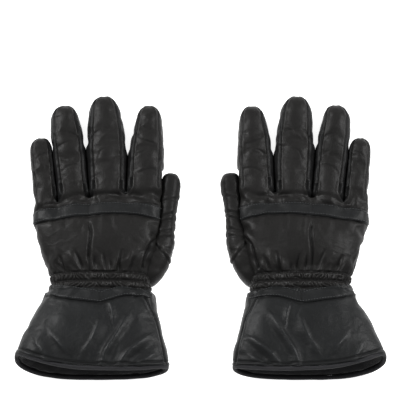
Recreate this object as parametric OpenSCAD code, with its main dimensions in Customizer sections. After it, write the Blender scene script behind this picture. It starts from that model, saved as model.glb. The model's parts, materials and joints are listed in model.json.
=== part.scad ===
// Pair of lined leather gauntlet gloves, lying palm down with the fingers along +Y.
// One glove is drawn in its own frame: the mouth of the gauntlet is at y = 0, the thumb is on
// the +X side and the table is z = 0. The other glove is its mirror image. Millimetres.

/* [Hand] */
// Width across the knuckles
hand_w = 123.5; // [116:0.5:130]
// Height of the hand over the palm
hand_t = 35.5; // [32:0.5:40]
// Length of the hand from the elastic to the roots of the fingers
hand_l = 82; // [78:1:88]

/* [Wrist] */
// Width of the elasticated wrist
wrist_w = 95; // [88:1:100]
// Height of the elasticated wrist
wrist_t = 32; // [29:0.5:34]
// Length of the elasticated wrist
elastic_l = 17; // [16:0.5:20]

/* [Gauntlet] */
// Length of the gauntlet from its mouth to the elastic
cuff_l = 83; // [75:1:100]
// Width of the mouth
mouth_w = 145.5; // [130:0.5:155]
// Height of the mouth
mouth_t = 45; // [40:0.5:52]
// How far the mouth is cut back at its two sides
mouth_bow = 14; // [8:0.5:16]

/* [Fingers] */
// Length of the index finger
index_l = 85; // [78:1:96]
// Length of the middle finger
middle_l = 98; // [90:1:110]
// Length of the ring finger
ring_l = 92; // [84:1:102]
// Length of the little finger
little_l = 62; // [56:1:72]
// Length of the thumb beyond its gusset
thumb_l = 75; // [68:1:82]

/* [Layers] */
// Thickness of the leather
leather_t = 1.4; // [1.2:0.1:1.6]
// Thickness of the padded lining
lining_t = 2.4; // [2:0.1:2.6]
// Radius of the rolled binding round the mouth
binding_r = 2.2; // [1.8:0.1:2.6]

/* [Pair] */
// Distance between the two gloves' own centre lines
pair_pitch = 191; // [188:1:230]

/* [Hidden] */
SIDES = ["left", "right"];
FINGER_PARTS = ["back", "front", "fourchettes", "lining"];
HAND_PARTS = ["hand_back", "palm", "knuckle_strip", "wrist_elastic", "hand_lining", "thumb_gusset"];
CUFF_PARTS = ["wrist_band", "gauntlet_back", "gauntlet_palm", "cuff_lining", "cuff_binding"];
THUMB_PARTS = ["thumb_back", "thumb_front", "thumb_lining"];
FINGER_NAMES = ["index", "middle", "ring", "little"];

// Colours
leather_black = [0.11, 0.11, 0.11];
leather_slate = [0.15, 0.17, 0.18];
lining_black = [0.05, 0.05, 0.06];

// Layers, as depths under the outer face of the leather
seam = 0.2;
lining_out = leather_t + seam;
lining_in = lining_out + lining_t;
strap_t = 1.2;
strap_gap = 0.9;

// Roundness of a cross-section: 2 is an ellipse, and more is squarer
hand_power = 2.6;
finger_power = 2.4;

// Places along the glove
elastic_y = cuff_l + 0.8;
hand_y = elastic_y + elastic_l - 0.8;
root_y = hand_y + hand_l;
root_slant = 0.07;
edge_y = root_y - 2.4;
rim_y = binding_r + 0.5;
hinge_z = 10;
root_gap = 0.8;
palm_clear = 6.2;
half_hand = hand_w / 2;

// Cross-sections along the hand: [y, left, right, bottom, top]
hand_rows = [
    [hand_y, -wrist_w / 2 - 1, wrist_w / 2 - 0.5, -0.4, hand_t - 2],
    [hand_y + 8, -0.835 * half_hand, 0.793 * half_hand, -0.6, hand_t - 0.5],
    [hand_y + 20, -0.89 * half_hand, 0.858 * half_hand, -0.8, hand_t],
    [hand_y + 34, -0.947 * half_hand, 0.915 * half_hand, -0.8, hand_t - 0.5],
    [hand_y + 50, -0.995 * half_hand, 0.972 * half_hand, -0.6, hand_t - 2],
    [root_y - 17, -1.015 * half_hand, 0.985 * half_hand, 0, hand_t - 4.5],
    [edge_y, -1.015 * half_hand, 0.985 * half_hand, 1.5, hand_t - 7]
];
// Cross-sections along the gauntlet, from the mouth to the elastic
cuff_rows = [
    [0, -0.553 * mouth_w, 0.447 * mouth_w, -0.6, mouth_t],
    [0.3 * cuff_l, -0.53 * mouth_w, 0.423 * mouth_w, -0.6, mouth_t - 2],
    [0.6 * cuff_l, -0.467 * mouth_w, 0.385 * mouth_w, -0.6, mouth_t - 6],
    [0.85 * cuff_l, -0.588 * wrist_w, 0.538 * wrist_w, -0.3, wrist_t + 4],
    [cuff_l, -wrist_w / 2, wrist_w / 2 + 1, 1, wrist_t + 1]
];
// Cross-sections along the elastic
elastic_rows = [
    [elastic_y, -wrist_w / 2 + 1, wrist_w / 2, 1.4, wrist_t],
    [elastic_y + elastic_l / 2, -wrist_w / 2 + 2.5, wrist_w / 2 - 1, 1.8, wrist_t - 1],
    [elastic_y + elastic_l - 2, -wrist_w / 2 + 1, wrist_w / 2 - 1, 1.4, wrist_t]
];
// The pocket that joins the thumb to the hand: [y, middle, reach, bottom, top]
gusset_rows = [
    [hand_y + 0.5, 48.5, 8.5, 0.4, 20],
    [hand_y + 6, 50, 12, 0.2, 22],
    [hand_y + 13, 51.5, 15, 0, 23],
    [hand_y + 20, 54, 15.5, 0, 23],
    [hand_y + 27.5, 56.5, 13.5, 0, 23]
];
// The thumb hole in the side of the hand: the back's edge moves up to make room for it
side_edge = [[hand_y + 33, 24], [hand_y + 43, -24]];

// Fingers: [root, height of the tip, lean in degrees, length, half width, half height, tip length]
function finger(name) =
    name == "index" ? [[44, root_y + 2.7, 16.5], 12, 1.9, index_l, 15.8, 12, 21] :
    name == "middle" ? [[7.6, root_y - 0.3, 16], 12.5, -2.4, middle_l, 16.6, 12, 22] :
    name == "ring" ? [[-25, root_y - 3, 15], 12, -4.7, ring_l, 13.6, 11.5, 19] :
    name == "little" ? [[-51.9, root_y - 5.5, 14], 11, -3.2, little_l, 10.5, 10.5, 14] :
    [[69.3, hand_y + 29, 11.2], 11, 0.3, thumb_l, 7.8, 11, 12];

// Where each finger's panels start and end round its cross-section, in degrees. The outer
// sides of the index and little fingers have no fourchette: the front leather wraps them.
top_edge = 35;
function front_start(name) = name == "little" ? 145.5 : 215.5;
function front_end(name) = name == "index" ? 394.5 : 324.5;
function has_thumb_side(name) = name != "index";
function has_outer_side(name) = name != "little";

function flat(rows) = [for (row = rows, p = row) p];

// Angles round a panel, and the angles of two panels that meet, so that what lies under them
// has its corners in the same places
function spread(from, to, steps = 14) = [for (j = [0:steps]) from + (to - from) * j / steps];
function joined(a, b) = len(a) == 0 ? b : concat(a, [for (j = [1:1:len(b) - 1]) b[j]]);
palm_angles = spread(173, 335.5);
gauntlet_back_angles = spread(8.5, 171.5);
gauntlet_palm_angles = spread(172, 368);
finger_back_angles = spread(top_edge, 180 - top_edge, 6);
function finger_front_angles(name) = spread(front_start(name), front_end(name), 8);
thumb_side_angles = spread(0.5 - top_edge, top_edge - 0.5, 3);
outer_side_angles = spread(180.5 - top_edge, 179.5 + top_edge, 3);
thumb_back_angles = spread(0.5, 179.5, 8);
thumb_front_angles = spread(180, 360, 8);
function finger_loop(name) = name == "thumb" ? joined(thumb_back_angles, thumb_front_angles) :
    joined(
        joined(finger_back_angles, has_outer_side(name) ? outer_side_angles : [0]),
        joined(finger_front_angles(name), has_thumb_side(name) ? thumb_side_angles : [0])
    );
// The last angle of a loop meets its first
function loop(angles) = [for (j = [0:len(angles) - 2]) angles[j]];
function signed_power(v, e) = sign(v) * pow(abs(v), e);

// A point on a superellipse with these edges, taken in by depth and kept above the table
function section_x(left, right, depth, t, power) =
    (left + right) / 2 + ((right - left) / 2 - depth) * signed_power(cos(t), 2 / power);
function section_z(low, high, depth, t, power) =
    max(depth, (low + high) / 2 + ((high - low) / 2 - depth) * signed_power(sin(t), 2 / power));

// Reads one column of a table of cross-sections at y
function at(rows, column, y) = lookup(y, [for (r = rows) [r[0], r[column]]]);
function body_point(rows, y, depth, t) = [
    section_x(at(rows, 1, y), at(rows, 2, y), depth, t, hand_power),
    y,
    section_z(at(rows, 3, y), at(rows, 4, y), depth, t, hand_power)
];

// Rows of points round the hand at one depth. The finger end follows the slanting roots, and
// its underside stops short of them to leave room for the fingers to bend down.
function slant_share(y) = lookup(y, [[hand_y + 20, 0], [edge_y, 1]]);
function palm_short(y, t) = y < edge_y ? 0 : palm_clear * pow(max(0, -sin(t)), 0.5);
function hand_grid(depth, back = true, palm = true) = [for (r = hand_rows) [
    for (t = joined(back ? spread(lookup(r[0], side_edge), 172.5) : [], palm ? palm_angles : []))
        let (p = body_point(hand_rows, r[0], depth, t))
        p + [0, root_slant * slant_share(r[0]) * p[0] - palm_short(r[0], t), 0]
]];

// Rows of points round the gauntlet. The mouth is cut back at its sides.
function cuff_y(y, t) =
    y + mouth_bow * pow(1 - max(0, y - rim_y) / cuff_l, 2) * pow(cos(t), 2);
function cuff_grid(depth, angles) = [for (r = cuff_rows) [
    for (t = angles)
        let (y = max(r[0], rim_y))
        let (p = body_point(cuff_rows, y, depth, t))
        [p[0], cuff_y(y, t), p[2]]
]];

// Rows of points round a finger, from its root to where its tip closes
tip_shares = [0, 0.4, 0.7, 0.9, 0.98];
function finger_ys(f, depth) = let (straight = f[3] - f[6]) concat(
    [for (share = [0, 0.35, 0.7]) share * straight],
    [for (share = tip_shares) straight + share * (f[6] - depth)]
);
function taper(f, depth, s) =
    let (u = min(1, max(0, (s - f[3] + f[6]) / (f[6] - depth)))) pow(1 - pow(u, 2.3), 1 / 2.3);
function finger_point(f, depth, s, t) =
    let (x = (f[4] - depth) * taper(f, depth, s) * signed_power(cos(t), 2 / finger_power))
    let (z = (f[5] - depth) * taper(f, depth, s) * signed_power(sin(t), 2 / finger_power))
    let (middle = f[0][2] + (f[1] - f[0][2]) * s / f[3])
    [
        f[0][0] + x * cos(f[2]) + s * sin(f[2]),
        f[0][1] - x * sin(f[2]) + s * cos(f[2]),
        max(depth, middle + z)
    ];
function finger_grid(f, depth, angles) = [
    for (s = finger_ys(f, depth)) [for (t = angles) finger_point(f, depth, s, t)]
];
function finger_tip(f, depth) = finger_point(f, depth, f[3] - depth, 0);

// A solid sheet between two grids of points, the outer and the inner. A closed sheet runs all
// the way round, and tips are the two points that its last row closes to.
module sheet(outer, inner, closed = false, tips = []) {
    rows = len(outer);
    cols = len(outer[0]);
    last = rows - 1;
    edge = cols - 1;
    across = closed ? cols : edge;
    pole = 2 * rows * cols;
    function o(i, j) = i * cols + j % cols;
    function n(i, j) = rows * cols + o(i, j);
    skins = [for (i = [0:rows - 2], j = [0:across - 1]) each [
        [o(i, j), o(i + 1, j), o(i + 1, j + 1)],
        [o(i, j), o(i + 1, j + 1), o(i, j + 1)],
        [n(i, j), n(i + 1, j + 1), n(i + 1, j)],
        [n(i, j), n(i, j + 1), n(i + 1, j + 1)]
    ]];
    root = [for (j = [0:across - 1]) each [
        [o(0, j), o(0, j + 1), n(0, j + 1)],
        [o(0, j), n(0, j + 1), n(0, j)]
    ]];
    end = len(tips) == 0
        ? [for (j = [0:across - 1]) each [
            [o(last, j), n(last, j + 1), o(last, j + 1)],
            [o(last, j), n(last, j), n(last, j + 1)]
        ]]
        : [for (j = [0:across - 1]) each [
            [o(last, j), pole, o(last, j + 1)],
            [n(last, j), n(last, j + 1), pole + 1]
        ]];
    sides = closed ? [] : [for (i = [0:rows - 2]) each [
        [o(i, 0), n(i + 1, 0), o(i + 1, 0)],
        [o(i, 0), n(i, 0), n(i + 1, 0)],
        [o(i, edge), o(i + 1, edge), n(i + 1, edge)],
        [o(i, edge), n(i + 1, edge), n(i, edge)]
    ]];
    side_tips = closed || len(tips) == 0 ? [] : [
        [o(last, 0), pole + 1, pole],
        [o(last, 0), n(last, 0), pole + 1],
        [o(last, edge), pole, pole + 1],
        [o(last, edge), pole + 1, n(last, edge)]
    ];
    faces = concat(skins, root, end, sides, side_tips);
    polyhedron(
        concat(flat(outer), flat(inner), tips),
        [for (f = faces) [f[0], f[2], f[1]]],
        convexity = 6
    );
}

// The room that the underside of a finger's root turns in, round the finger's hinge
module root_room(name) {
    f = finger(name);
    translate([f[0][0], f[0][1], hinge_z]) rotate([0, 0, -f[2]]) rotate([0, 90, 0])
        cylinder(h = 2 * f[4] + 3, r = hinge_z - f[0][2] + f[5] + root_gap, center = true, $fn = 32);
}
module root_rooms() {
    for (name = FINGER_NAMES) root_room(name);
}

module hand_back() {
    color(leather_black) difference() {
        sheet(hand_grid(0, palm = false), hand_grid(leather_t, palm = false));
        root_rooms();
    }
}

module palm() {
    color(leather_black) difference() {
        sheet(hand_grid(0, back = false), hand_grid(leather_t, back = false));
        root_rooms();
    }
}

module hand_lining() {
    color(lining_black) difference() {
        sheet(hand_grid(lining_out), hand_grid(lining_in));
        root_rooms();
    }
}

// The raised band of leather across the knuckles
strip_rows = [[root_y - 25, 3.5], [root_y - 19, 4], [root_y - 13, 4.5]];
module knuckle_strip() {
    function grid(depth) = [for (r = strip_rows) [
        for (j = [0:12])
            let (t = 12 + 156 * j / 12)
            let (x = section_x(-half_hand, half_hand, 0, t, hand_power))
            body_point(hand_rows, r[0] - r[1] * pow(cos(t), 2) + 0.04 * x, depth, t)
    ]];
    color(leather_slate) sheet(grid(-strap_gap - strap_t), grid(-strap_gap));
}

module wrist_elastic() {
    function grid(depth) = [for (r = elastic_rows) [
        for (j = [0:23]) body_point(elastic_rows, r[0], depth, 15 * j)
    ]];
    color(leather_black) sheet(grid(0), grid(2.6), closed = true);
}

module thumb_gusset() {
    function grid(depth) = [for (r = gusset_rows) [
        for (j = [0:8])
            let (t = -86 + 180 * j / 8)
            [
                section_x(r[1] - r[2], r[1] + r[2], depth, t, finger_power),
                r[0],
                section_z(r[3], r[4], depth, t, finger_power)
            ]
    ]];
    color(leather_black) sheet(grid(0), grid(leather_t + 0.8));
}

// The band of leather below the elastic, on the back only
module wrist_band() {
    function grid(depth) = [for (y = [cuff_l - 12.5, cuff_l - 7, cuff_l - 1.5]) [
        for (j = [0:12])
            let (t = 14 + 152 * j / 12)
            body_point(cuff_rows, y - 2 * pow(cos(t), 2), depth, t)
    ]];
    color(leather_slate) sheet(grid(-strap_gap - strap_t), grid(-strap_gap));
}

module gauntlet_panel(angles) {
    color(leather_slate) sheet(cuff_grid(0, angles), cuff_grid(leather_t, angles));
}

module gauntlet_back() {
    gauntlet_panel(gauntlet_back_angles);
}

module gauntlet_palm() {
    gauntlet_panel(gauntlet_palm_angles);
}

module cuff_lining() {
    angles = loop(joined(gauntlet_back_angles, gauntlet_palm_angles));
    color(lining_black)
        sheet(cuff_grid(lining_out, angles), cuff_grid(lining_in, angles), closed = true);
}

// The rolled binding round the mouth: a bead swept along its edge
module cuff_binding() {
    turns = 36;
    sides = 6;
    function centre(t) =
        let (p = body_point(cuff_rows, 0, binding_r, t))
        [p[0], cuff_y(0, t), max(p[2], binding_r)];
    points = [for (i = [0:turns - 1])
        let (t = 360 * i / turns)
        let (ahead = centre(t + 2) - centre(t - 2))
        let (out = cross([0, 1, 0], ahead) / norm(cross([0, 1, 0], ahead)))
        let (across = cross(ahead, out) / norm(cross(ahead, out)))
        for (j = [0:sides - 1])
            centre(t) + binding_r * (cos(60 * j) * out + sin(60 * j) * across)
    ];
    function id(i, j) = (i % turns) * sides + j % sides;
    faces = [for (i = [0:turns - 1], j = [0:sides - 1]) each [
        [id(i, j), id(i + 1, j), id(i + 1, j + 1)],
        [id(i, j), id(i + 1, j + 1), id(i, j + 1)]
    ]];
    color(leather_slate) polyhedron(points, faces, convexity = 6);
}

// One panel of a finger's leather, between two angles round its cross-section
module finger_panel(name, angles) {
    f = finger(name);
    sheet(
        finger_grid(f, 0, angles),
        finger_grid(f, leather_t, angles),
        tips = [finger_tip(f, 0), finger_tip(f, leather_t)]
    );
}

module finger_back(name) {
    color(leather_black) finger_panel(name, finger_back_angles);
}

module finger_front(name) {
    color(leather_black) finger_panel(name, finger_front_angles(name));
}

module finger_fourchettes(name) {
    color(leather_slate) {
        if (has_thumb_side(name)) finger_panel(name, thumb_side_angles);
        if (has_outer_side(name)) finger_panel(name, outer_side_angles);
    }
}

module finger_lining(name) {
    f = finger(name);
    angles = loop(finger_loop(name));
    color(lining_black) sheet(
        finger_grid(f, lining_out, angles),
        finger_grid(f, lining_in, angles),
        closed = true,
        tips = [finger_tip(f, lining_out), finger_tip(f, lining_in)]
    );
}

module thumb_back() {
    color(leather_black) finger_panel("thumb", thumb_back_angles);
}

module thumb_front() {
    color(leather_black) finger_panel("thumb", thumb_front_angles);
}

// Puts a glove in its place in the pair, with the pair's middle at the origin
middle_finger = finger("middle");
tip_y = middle_finger[0][1] + middle_finger[3] * cos(middle_finger[2]);
module placed(side) {
    mirror([side == "right" ? 1 : 0, 0, 0])
        translate([-pair_pitch / 2, -(tip_y - binding_r) / 2, 0]) children();
}

for (side = SIDES) {
    placed(side) hand_back();
    placed(side) palm();
    placed(side) knuckle_strip();
    placed(side) wrist_elastic();
    placed(side) hand_lining();
    placed(side) thumb_gusset();
    placed(side) wrist_band();
    placed(side) gauntlet_back();
    placed(side) gauntlet_palm();
    placed(side) cuff_lining();
    placed(side) cuff_binding();
    placed(side) thumb_back();
    placed(side) thumb_front();
    placed(side) finger_lining("thumb");
    for (name = FINGER_NAMES) {
        finger_node = str(side, "_", name);
        placed(side) finger_back(name);
        placed(side) finger_front(name);
        placed(side) finger_fourchettes(name);
        placed(side) finger_lining(name);
    }
}
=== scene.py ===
"""Pair of lined leather gauntlet gloves: leather, seams, stitching, lining and stage."""

import functools
import itertools
import json
import math

import bpy
import numpy as np
from bpy.props import FloatProperty, FloatVectorProperty, PointerProperty
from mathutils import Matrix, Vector
from mathutils.bvhtree import BVHTree


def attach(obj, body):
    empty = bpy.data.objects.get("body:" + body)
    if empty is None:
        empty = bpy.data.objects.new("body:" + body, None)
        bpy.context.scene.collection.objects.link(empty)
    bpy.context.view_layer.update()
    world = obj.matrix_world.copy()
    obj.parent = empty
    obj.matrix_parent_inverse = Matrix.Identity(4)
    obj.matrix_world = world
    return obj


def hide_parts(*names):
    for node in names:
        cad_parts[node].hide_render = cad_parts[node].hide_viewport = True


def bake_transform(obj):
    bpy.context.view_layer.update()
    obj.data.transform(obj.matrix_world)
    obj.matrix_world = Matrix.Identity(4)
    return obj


bl_info = {
    "name": "Leather Gauntlet Gloves",
    "version": (1, 0, 0),
    "blender": (4, 5, 0),
    "location": "View3D > Sidebar > Gloves",
    "description": "Builds a pair of lined leather gauntlet gloves round their packed frame",
    "category": "Object",
}

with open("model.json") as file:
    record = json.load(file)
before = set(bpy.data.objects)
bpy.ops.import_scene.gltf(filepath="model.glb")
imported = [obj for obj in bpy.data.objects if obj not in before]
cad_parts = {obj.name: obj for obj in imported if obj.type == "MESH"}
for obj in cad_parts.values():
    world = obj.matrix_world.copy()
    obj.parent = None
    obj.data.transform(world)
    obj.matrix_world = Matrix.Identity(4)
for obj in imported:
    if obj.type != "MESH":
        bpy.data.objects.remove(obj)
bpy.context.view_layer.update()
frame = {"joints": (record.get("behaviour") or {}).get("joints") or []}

# ==== Frame: each glove is drawn once, in millimetres, with the mouth of the gauntlet at y = 0,
# the thumb on the +x side and the table at z = 0. The other glove is its mirror image.

MM = 0.001
SIDES = ("left", "right")
FINGERS = ("index", "middle", "ring", "little")
WRIST_Y = 91.5  # place of the wrist's hinge along the glove


def joint_place(name):
    """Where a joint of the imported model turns, in metres."""
    return Vector(next(j["pos_m"] for j in frame["joints"] if j["name"] == name))


GLOVE_ORIGIN = joint_place("left_wrist_bend") - Vector((0, WRIST_Y * MM, 0))


def glove_place(name):
    """A joint of the left glove in the glove's own frame, in millimetres."""
    place = (joint_place("left_" + name) - GLOVE_ORIGIN) / MM
    return np.array((place.x, place.y, place.z + GLOVE_ORIGIN.z / MM))


def to_world(points, side):
    """Points of the glove's own frame as metres in the pair's frame."""
    out = np.asarray(points, float) * MM
    out[:, 0] += GLOVE_ORIGIN.x
    out[:, 1] += GLOVE_ORIGIN.y
    if side == "right":
        out[:, 0] *= -1
    return out


def smooth(low, high, value):
    """Rises from 0 at the low value to 1 at the high one, with soft ends."""
    share = np.clip((np.asarray(value, float) - low) / (high - low), 0, 1)
    return share * share * (3 - 2 * share)


def along(table, value, column=1):
    """One column of a table of rows, read at a place along it, with rounded corners."""
    rows = np.asarray(table, float)
    value = np.asarray(value, float)
    return sum(weight * np.interp(value + nudge, rows[:, 0], rows[:, column])
               for nudge, weight in ((-2.0, 0.25), (0.0, 0.5), (2.0, 0.25)))


# ==== Shape of the skin ====

# How square the cross-sections and the finger tips are: 2 is an ellipse
BODY_POWER = 2.5
FINGER_POWER = 2.35
TIP_POWER = 2.2
# Quads over the top and down the side of a finger, and the angle in degrees where the two meet
TOP_QUADS = 8
SIDE_QUADS = 4
TOP_EDGE = 45.0
# The last row of the hand, and the end of the gauntlet
ROOT_Y = 179.0
CUFF_END = 83.0
# How far the mouth stands in from y = 0: at its two sides, over the back, towards the thumb, on
# the palm, in the palm's middle, and less at the palm's two corners
MOUTH_BOW = (18.0, 9.5)
BACK_CUT = 2.2
BACK_LEAN = 3.6
PALM_CUT = 2.0
PALM_BOW = 1.8
CORNER_CUT = (7.0, 4.5)
# How far a cross-section goes on below the table before it is flattened
TABLE_CUT = 1.2

# Cross-sections: place along the glove, little-finger edge, thumb edge, bottom, top
BODY_ROWS = (
    (0, -79.3, 66.6, 0, 44.5),
    (8, -76.6, 66.2, 0, 44.3),
    (20, -74.1, 65.3, 0, 44),
    (32, -71.0, 62.8, 0, 43),
    (48, -65.9, 59.8, 0, 41),
    (64, -59.0, 56.2, 0, 38.5),
    (76, -52.4, 52.9, 0, 36),
    (84, -48.0, 49.9, 0.3, 34),
    (92, -44.9, 48, 1.0, 32.5),
    (100, -46.8, 47.5, 0.5, 33.5),
    (108, -49.4, 49.5, 0, 35),
    (120, -53.6, 53, 0, 35.5),
    (136, -58, 56.5, 0, 35.5),
    (150, -61.2, 59.5, 0, 34.5),
    (163, -62.6, 60.8, 0, 33),
    (182, -62.9, 60.9, 0.5, 30.5),
)

# Where the skin parts between the fingers: place across the hand, place along it
ROOT_LINE = ((-66, 171), (-39.2, 172.6), (-9.5, 177.6), (24.7, 181.5), (64, 184.5))

# Fingers: place of the middle across the hand by share of the length, height of the middle at
# the root and the tip, end along the glove, half height, length of the rounded tip, and half
# width by share of the length
FINGER_SHAPES = {
    "index": {
        "across": ((0, 42.9), (0.6, 44.9), (0.85, 46.2), (1, 46.6)),
        "height": (16.5, 12.2),
        "end": 269.8,
        "half_height": 12.0,
        "tip": 15.0,
        "widths": ((0, 17.5), (0.3, 17.4), (0.45, 16.9), (0.62, 15.8), (0.75, 13.7), (0.85, 12.6),
                   (1, 11.8)),
    },
    "middle": {
        "across": ((0, 7.6), (0.56, 6.0), (0.8, 4.4), (1, 3.6)),
        "height": (16.2, 12.6),
        "end": 279.8,
        "half_height": 12.3,
        "tip": 17.0,
        "widths": ((0, 16.8), (0.25, 18.5), (0.45, 18.9), (0.58, 18.2), (0.73, 16.7), (0.85, 14.7),
                   (1, 13)),
    },
    "ring": {
        "across": ((0, -24.4), (0.67, -31.8), (0.85, -33.8), (1, -33.4)),
        "height": (15.2, 12),
        "end": 270.6,
        "half_height": 11.7,
        "tip": 14.0,
        "widths": ((0, 14.5), (0.3, 15.6), (0.67, 15.6), (0.76, 14.6), (0.85, 13.6), (1, 12.4)),
    },
    "little": {
        "across": ((0, -51.2), (0.5, -54.4), (0.8, -56), (1, -56)),
        "height": (14.2, 11),
        "end": 238.0,
        "half_height": 10.6,
        "tip": 12.0,
        "widths": ((0, 11.2), (0.5, 11.2), (0.8, 10.8), (1, 10)),
    },
}


def power(value, exponent):
    """A power that keeps the sign of the value."""
    return np.sign(value) * np.abs(value) ** exponent


def body_point(y, angle, depth=0.0):
    """A point of the hand's or gauntlet's cross-section at an angle in radians."""
    low_x, high_x, low_z, high_z = (along(BODY_ROWS, y, column) for column in (1, 2, 3, 4))
    round_x, round_z = np.cos(angle), np.sin(angle)
    x = (low_x + high_x) / 2 + ((high_x - low_x) / 2 - depth) * power(round_x, 2 / BODY_POWER)
    z = (low_z - TABLE_CUT + high_z) / 2
    z = z + ((high_z - low_z + TABLE_CUT) / 2 - depth) * power(round_z, 2 / BODY_POWER)
    near_mouth = np.clip(1 - y / CUFF_END, 0, 1) ** 2
    over, under = np.clip(round_z, 0, 1), np.clip(-round_z, 0, 1)
    bow = np.where(round_x < 0, *MOUTH_BOW) * round_x**2
    bow = bow + BACK_CUT * over - BACK_LEAN * round_x * over**0.3
    bow = bow + PALM_CUT * under + PALM_BOW * under**3
    bow = bow - np.where(round_x < 0, *CORNER_CUT) * round_x**2 * under**0.5
    return x, y + bow * near_mouth, np.maximum(z, depth * 0.8)


class Finger:
    """The tube of one finger: where its cross-sections are and how big they are."""

    def __init__(self, name):
        self.shape = FINGER_SHAPES[name]
        self.start = glove_place(name + "_bend")[1]
        self.length = self.shape["end"] - self.start

    def middle(self, s):
        return np.interp(s / self.length, *zip(*self.shape["across"]))

    def half_width(self, s):
        return np.interp(s / self.length, *zip(*self.shape["widths"]))

    def taper(self, s):
        reach = (np.asarray(s, float) - self.length + self.shape["tip"]) / self.shape["tip"]
        return (1 - np.clip(reach, 0, 1) ** TIP_POWER) ** (1 / TIP_POWER)

    def height(self, s):
        low, high = self.shape["height"]
        return low + (high - low) * np.clip(s / self.length, 0, 1)

    def point(self, s, angle):
        """A point of the tube at a distance from its hinge and an angle in radians."""
        s = np.asarray(s, float)
        wide, tall = self.half_width(s) * self.taper(s), self.shape["half_height"] * self.taper(s)
        x = self.middle(s) + wide * power(np.cos(angle), 2 / FINGER_POWER)
        z = self.height(s) + tall * power(np.sin(angle), 2 / FINGER_POWER)
        return x, self.start + s, np.maximum(z, 0.0)


class Skin:
    """Collects the vertices and quads of the glove's skin."""

    def __init__(self):
        self.index = {}
        self.points, self.quads, self.tags = [], [], []

    def vertex(self, key, place):
        if key not in self.index:
            self.index[key] = len(self.points)
            self.points.append([float(c) for c in place])
        return self.index[key]

    def quad(self, keys, tag):
        self.quads.append([self.index[k] for k in keys])
        self.tags.append(tag)

    def patch(self, rows, columns, key, tag):
        """Fills a grid with quads. Key and tag are functions of its row and column."""
        for i, j in itertools.product(rows, columns):
            self.quad([key(i, j), key(i + 1, j), key(i + 1, j + 1), key(i, j + 1)], tag(i, j))


BODY_PANELS = ("gauntlet_back", "gauntlet_palm", "wrist_elastic", "hand_back", "palm")
FINGER_PANELS = ("back", "front", "fourchettes")
TAGS = BODY_PANELS + tuple(f"{finger}_{panel}" for finger in FINGERS for panel in FINGER_PANELS)
BODY_YS = np.concatenate(
    [np.linspace(3.5, 80, 23), np.linspace(83, 101, 9), np.linspace(104.5, 175.5, 22), [ROOT_Y]]
)
# The leather turns in at the mouth: place along the glove and depth inside its outer face
HEM_ROWS = ((12, 2.0), (7, 1.9), (4.2, 1.5), (3.2, 0.7))
# Where the hand's panels end and the fingers' begin, and where the wrist's elastic lies
SPLIT_Y = 161.0
WRIST_LOW, WRIST_HIGH = 81.5, 102.0


def ring_angles():
    """Angles round a finger: over the top, down the far side, underneath and up the near side."""
    top = np.linspace(TOP_EDGE, 180 - TOP_EDGE, TOP_QUADS + 1)
    side = np.linspace(180 - TOP_EDGE, 180 + TOP_EDGE, SIDE_QUADS + 1)
    return np.radians(np.concatenate([top, side[1:], top[1:] + 180, side[1:-1] + 180]))


WEB_DEPTH = 1.5  # how far the web between two fingers lies behind their roots
WEB_LOW = 6.5
RING_SPACING = 3.5
TIP_RINGS = (0.02, 0.27, 0.5, 0.69, 0.83, 0.93)  # shares of the tip's length
FALL_REACH = 18  # how far from its root a finger's rings follow the slanting root line


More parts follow.
